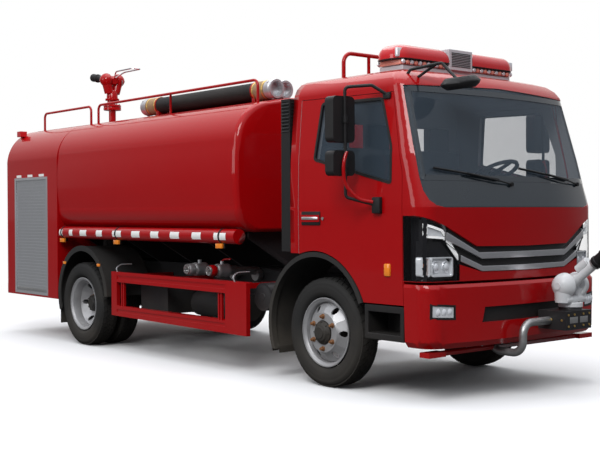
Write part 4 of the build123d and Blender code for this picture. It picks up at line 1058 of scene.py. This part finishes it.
# Front monitor: flanged base, two lobes, a gear housing and a ringed nozzle; brass screws on its bracket
frontMonitor = {"x": 0.29, "back": -1.545, "hingeZ": 0.88, "tilt": 38}
mx, my, mz = frontMonitor["x"], at(frontMonitor["back"]), frontMonitor["hingeZ"]
grey = Builder()
grey.lathe([(0, 0.035), (0, 0.095), (0.004, 0.098), (0.034, 0.098), (0.04, 0.094), (0.04, 0.035)], (mx, my, 0.705),
           (0, 0, 1), 48)
for sign in (-1, 1):
    lobe = [(0.0, 0.0), (0.004, 0.05), (0.0, 0.06), (0.0, 0.096), (-0.012, 0.104), (-0.04, 0.1), (-0.078, 0.082),
            (-0.1, 0.06), (-0.112, 0.03), (-0.114, 0.0)]
    grey.spin([(sign * (0.062 - d), r) for d, r in lobe], (mx, my, mz), xAxis, 40)
    grey.rod((mx + sign * 0.1, my, 0.742), (mx + sign * 0.095, my, 0.86), 0.062, 28, 0.075)
    grey.rod((mx + sign * 0.174, my, mz), (mx + sign * 0.179, my, mz), 0.03, 24)
grey.box(about(mx, 0.13), about(my, 0.07), (0.742, 0.795), 0.02)
piece("monitorTurret", grey, ["monitorGrey"], "front_monitor_turret", ("front_monitor_turret",))
tilt = math.radians(frontMonitor["tilt"])
way = Vector((0, -math.cos(tilt), math.sin(tilt)))
across = Vector((0, math.sin(tilt), math.cos(tilt)))
pivot = Vector((mx, my, mz))
barrel = Builder()
barrel.rod(pivot - Vector((0.056, 0, 0)), pivot + Vector((0.056, 0, 0)), 0.05, 32)
barrel.spin([(0, 0.0), (0.02, 0.044), (0.1, 0.044), (0.12, 0.038), (0.285, 0.038), (0.285, 0.046), (0.3, 0.046),
             (0.3, 0.0)], pivot, way, 36)
barrel.rod(pivot + way * 0.14 + across * 0.05, pivot + way * 0.255 + across * 0.05, 0.043, 32)
barrel.rod(pivot + way * 0.255 + across * 0.05, pivot + way * 0.265 + across * 0.05, 0.034, 32)
barrel.index = 1
nozzle = [(0.3, 0.0), (0.3, 0.05), (0.31, 0.055), (0.33, 0.055), (0.335, 0.049), (0.39, 0.049), (0.4, 0.0545),
          (0.42, 0.0545), (0.42, 0.04), (0.36, 0.038), (0.35, 0.0)]
barrel.spin(nozzle, pivot, way, 40)
barrel.index = 2
barrel.rod(pivot + way * 0.345, pivot + way * 0.412, 0.012, 16)
barrel.lathe([(0.285, 0.0465), (0.297, 0.0465), (0.297, 0.049), (0.285, 0.049)], pivot, way, 36)
piece("monitorBarrel", barrel, ["monitorGrey", "blackPlastic", "steel"], "front_monitor_barrel",
      ("front_monitor_barrel",))
fittings = Builder()
for px in (0.13, 0.21, 0.33, 0.41):
    for pz in (0.56, 0.652):
        fittings.rod((px, at(-1.64), pz), (px, at(-1.645), pz), 0.009, 12)
for py in (-1.6, -1.5):
    fittings.rod((0.0985, at(py), 0.61), (0.0945, at(py), 0.61), 0.009, 12)
piece("bracketScrews", fittings, ["gold"], "truck")
windows = Builder()
for x0, x1 in ((0.15, 0.255), (0.285, 0.39)):
    windows.box((x0, x1), (at(-1.6415), at(-1.6385)), (0.583, 0.632), 0.001)
piece("bracketWindows", windows, ["steel"], "truck")

# Roof monitor: two-lobed body with a lever, black nozzle and a looped handle
roofMonitor = {"back": 5.27, "hingeZ": 3.19, "aim": (0, 0.35, 0.06)}
ry, rz = at(roofMonitor["back"]), roofMonitor["hingeZ"]
head = Builder()
head.lathe([(0, 0.04), (0, 0.11), (0.003, 0.113), (0.022, 0.113), (0.025, 0.11), (0.025, 0.04)], (0, ry, 2.845),
           (0, 0, 1), 48)
head.spin([(0, 0.065), (0.055, 0.063), (0.06, 0.088), (0.064, 0.09), (0.082, 0.09), (0.085, 0.086), (0.087, 0.072),
           (0.15, 0.07), (0.18, 0.06), (0.188, 0.0)], (0, ry, 2.87), zAxis, 40)
for sign in (-1, 1):
    lobe = [(0.051, 0.0), (0.051, 0.078), (0.058, 0.083), (0.075, 0.087), (0.09, 0.087), (0.11, 0.082), (0.13, 0.072),
            (0.15, 0.054), (0.164, 0.034), (0.171, 0.012), (0.171, 0.0)]
    head.spin([(sign * d, r) for d, r in lobe], (0, ry, rz), xAxis, 40)
    head.rod((sign * 0.045, ry, 3.025), (sign * 0.08, ry, 3.16), 0.058, 28, 0.062)
head.rod((-0.04, ry, 3.03), (0.04, ry, 3.03), 0.055, 28)
head.index = 1
head.rod((0.165, ry, rz), (0.175, ry, rz), 0.022, 24)
head.box((0.088, 0.096), (ry - 0.1, ry - 0.086), (3.12, rz), 0.003)
piece("roofMonitorHead", head, ["red", "steel"], "roof_monitor_head", ("roof_monitor_head",))
hinge = Vector((0, ry, rz))
aim = Vector(roofMonitor["aim"]).normalized()
gun = Builder()
gun.rod(hinge - Vector((0.0445, 0, 0)), hinge + Vector((0.0445, 0, 0)), 0.0595, 36)
gun.spin([(-0.08, 0.0), (-0.08, 0.041), (0.02, 0.0415), (0.1, 0.041), (0.16, 0.035), (0.2, 0.035)], hinge, aim, 36)
gun.index = 1
gun.spin([(0.2, 0.035), (0.21, 0.042), (0.35, 0.04), (0.355, 0.048), (0.365, 0.055), (0.38, 0.055), (0.39, 0.048),
          (0.47, 0.0515), (0.493, 0.0515), (0.493, 0.044), (0.42, 0.038), (0.4, 0.0)], hinge, aim, 40)
gun.index = 2
loop = [(0, 5.21, 3.21), (-0.06, 5.07, 3.28), (-0.06, 4.67, 3.28), (0.06, 4.67, 3.28), (0.06, 5.07, 3.28),
        (0.005, 5.21, 3.21)]
gun.pipe([(px, at(b), pz) for px, b, pz in loop], 0.01, 10, 0.04)
piece("roofMonitorGun", gun, ["red", "blackPlastic", "chrome"], "roof_monitor_barrel", ("roof_monitor_barrel",))

# Outlets: valves and rings, one of them red with its lever, guard hooks and the air tank's end
outlets = Builder()
for back, painted in ((1.65, True), (2.03, False)):
    spot = Vector((0, at(back), 0.92))
    outlets.index = 0
    outlets.spin([(-0.82, 0.0), (-0.82, 0.0625), (-0.835, 0.0655), (-0.85, 0.0655), (-0.86, 0.0625), (-0.92, 0.0625),
                  (-0.93, 0.066), (-0.945, 0.066), (-0.955, 0.0625), (-0.9605, 0.053)], spot, xAxis, 36)
    outlets.index = 1 if painted else 0
    outlets.spin([(-0.975, 0.0505), (-0.985, 0.056), (-1.03, 0.056), (-1.04, 0.0505)], spot, xAxis, 36)
    if painted:
        outlets.pipe([(-0.89, at(back), 0.98), (-0.89, at(back), 1.01), (-0.9, at(back) - 0.05, 1.03),
                      (-0.9, at(back) - 0.16, 1.035)], 0.009, 8, 0.02)
    outlets.index = 0
    outlets.rod((-0.89, at(back), 0.975), (-0.89, at(back), 1.012), 0.018, 16)
for back in (1.1, 3.2):
    outlets.pipe([(-1.142, at(back), 0.842), (-1.16, at(back) + 0.01, 0.89), (-1.1, at(back) + 0.02, 0.93),
                  (-0.96, at(back) + 0.02, 0.93)], 0.007, 6, 0.03)
outlets.index = 2
outlets.spin([(-1.052, 0.0), (-1.052, 0.1), (-1.045, 0.118), (-1.03, 0.1265)], (0, at(0.8), 0.72), xAxis, 40)
outlets.spin([(-1.056, 0.0), (-1.056, 0.03), (-1.05, 0.036)], (0, at(0.8), 0.72), xAxis, 24)
piece("outletDetails", outlets, ["aluminium", "red", "chassis"], "truck")

# Guard rails: folded flanges behind the plates
flanges = Builder()
for side in (-1, 1):
    for b0, b1, z0, z1 in ((1.235, 3.185, 0.738, 0.744), (1.235, 3.185, 0.478, 0.486), (0.91, 3.29, 0.842, 0.849)):
        flanges.box((side * 1.085, side * 1.13), (at(b0), at(b1)), (z0, z1))
piece("guardFlanges", flanges, ["red"], "truck")

# Tail lamps: coloured sections behind clear faces
tails = Builder()
for middle in (-1.06, 1.06):
    for k, index in ((-1, 0), (0, 1), (1, 2)):
        tails.index = index
        x = middle + k * 0.058 * (1 if middle > 0 else -1)
        tails.box(about(x, 0.027), (at(5.832), at(5.8395)), (0.65, 0.73), 0.003)
piece("tailSections", tails, ["redLens", "clearLens", "amber"], "truck")

# Strips along both sides of the tank's deck
seams = Builder()
for x in (-0.87, 0.87):
    seams.box(about(x, 0.012), (at(1.1), at(5.6)), (2.492, 2.512))
piece("deckStrips", seams, ["red"], "truck")

# Air lines behind the cab
lines = Builder()
for px, look in ((0.2, 0), (0.12, 1)):
    lines.index = look
    lines.pipe([(px, at(0.37), 1.35), (px, at(0.5), 1.3), (px + 0.05, at(0.62), 1.05), (px, at(0.8), 0.93),
                (px, at(1.02), 0.92)], 0.012, 8, 0.06)
piece("airLines", lines, ["hose", "blackPlastic"], "truck")

# Straps and filler cap of the tank on the left
straps = Builder()
for back in (1.65, 2.2):
    straps.box((0.5, 1.05), about(at(back), 0.03), (0.878, 0.886), 0.002)
    straps.box((1.038, 1.046), about(at(back), 0.03), (0.44, 0.88), 0.002)
straps.index = 1
straps.rod((0.7, at(2.3), 0.878), (0.7, at(2.3), 0.91), 0.05, 28)
piece("tankStraps", straps, ["steel", "blackPlastic"], "truck")

# Stage: pale floor, soft light and the camera of the photograph
floorLook = bpy.data.materials.new("floorWhite")
floorLook.use_nodes = True
tree = floorLook.node_tree
floorShader = tree.nodes["Principled BSDF"]
for key, value in {"Base Color": (0.9, 0.9, 0.9, 1), "Roughness": 0.95, "Specular IOR Level": 0.0}.items():
    floorShader.inputs[key].default_value = value
# far off, the floor fades to white; what the paint mirrors of it is dark, as asphalt would be
fade = {"near": 4.5, "far": 11}
spot = addNode(tree, "ShaderNodeTexCoord")["Object"]
length = addNode(tree, "ShaderNodeVectorMath", {0: spot}, operation="LENGTH")["Value"]
away = addNode(tree, "ShaderNodeMapRange", {"Value": length, "From Min": fade["near"], "From Max": fade["far"]},
               interpolation_type="SMOOTHSTEP")["Result"]
glow = addNode(tree, "ShaderNodeEmission")[0]
blendFar = addNode(tree, "ShaderNodeMixShader", {0: away, 1: floorShader.outputs[0], 2: glow})[0]
dark = addNode(tree, "ShaderNodeBsdfDiffuse", {"Color": (0.12, 0.12, 0.12, 1)})[0]
direct = addNode(tree, "ShaderNodeLightPath")["Is Camera Ray"]
choose = addNode(tree, "ShaderNodeMixShader", {0: direct, 1: dark, 2: blendFar})[0]
tree.links.new(choose, tree.nodes["Material Output"].inputs["Surface"])
bpy.ops.mesh.primitive_plane_add(size=400, location=(0, 0, 0))
floor = bpy.context.object
floor.name = "floorPlane"
floor.data.materials.append(floorLook)

world = bpy.data.worlds.new("softSky")
bpy.context.scene.world = world
world.use_nodes = True
sky = world.node_tree
ground = sky.nodes["Background"]
ground.inputs["Strength"].default_value = 1.0
toward = addNode(sky, "ShaderNodeTexCoord")["Generated"]
climb = sky.nodes.new("ShaderNodeValToRGB")
sky.links.new(addNode(sky, "ShaderNodeSeparateXYZ", {0: toward})["Z"], climb.inputs["Fac"])
ramp = climb.color_ramp.elements
ramp[0].position, ramp[0].color = 0.0, (0.1, 0.1, 0.11, 1)
ramp[1].position, ramp[1].color = 0.85, (1.2, 1.24, 1.32, 1)
ramp.new(0.3).color = (0.3, 0.31, 0.33, 1)
# the sky beyond the truck is bright down to the horizon, and what lies behind the camera is dark
along = addNode(sky, "ShaderNodeVectorMath", {0: toward, 1: (0.644, 0.765, 0.0)}, operation="DOT_PRODUCT")["Value"]
beyond = addNode(sky, "ShaderNodeMapRange", {"Value": along, "From Min": 0.25, "From Max": 0.9},
                 interpolation_type="SMOOTHSTEP")["Result"]
brighter = addNode(sky, "ShaderNodeMix", {"Factor": beyond, 6: climb.outputs["Color"], 7: (1.0, 0.98, 0.96, 1)},
                   data_type="RGBA")[2]
sky.links.new(brighter, ground.inputs["Color"])
seen = addNode(sky, "ShaderNodeBackground", {"Color": (1, 1, 1, 1)})[0]
direct = addNode(sky, "ShaderNodeLightPath")["Is Camera Ray"]
choose = addNode(sky, "ShaderNodeMixShader", {0: direct, 1: ground.outputs[0], 2: seen})[0]
sky.links.new(choose, sky.nodes["World Output"].inputs["Surface"])

lights = (
    # name, place, target, size, power
    ("keyLight", (-9, -7, 9), (0, 0, 1.2), 5.0, 800),
    ("sideLight", (-12, 3, 5), (0, 1, 1.2), 6.0, 300),
    ("topLight", (1, 1, 9), (0, 0.5, 1), 8.0, 380),
)
for name, spot, target, size, power in lights:
    lamp = bpy.data.lights.new(name, "AREA")
    lamp.size = size
    lamp.energy = power
    holder = bpy.data.objects.new(name, lamp)
    bpy.context.scene.collection.objects.link(holder)
    holder.location = spot
    holder.rotation_euler = (Vector(target) - Vector(spot)).to_track_quat("-Z", "Y").to_euler()

cameraData = bpy.data.cameras.new("photoCamera")
cameraData.sensor_width = 36
cameraData.lens = 63.08
camera = bpy.data.objects.new("photoCamera", cameraData)
bpy.context.scene.collection.objects.link(camera)
yaw, pitch, roll = (math.radians(v) for v in (-40.106, 0.743, -0.262))
backward = Vector((math.sin(yaw) * math.cos(pitch), -math.cos(yaw) * math.cos(pitch), math.sin(pitch)))
rightward = (-backward).cross(Vector((0, 0, 1))).normalized()
upward = backward.cross(rightward)
right2 = rightward * math.cos(roll) + upward * math.sin(roll)
up2 = upward * math.cos(roll) - rightward * math.sin(roll)
turn = Matrix((right2, up2, backward)).transposed()
camera.matrix_world = Matrix.Translation((-6.9, -8.683, 1.486)) @ turn.to_4x4()
cameraData.clip_end = 200
bpy.context.scene.camera = camera
bpy.context.scene.view_settings.view_transform = "Standard"

print("stage set")
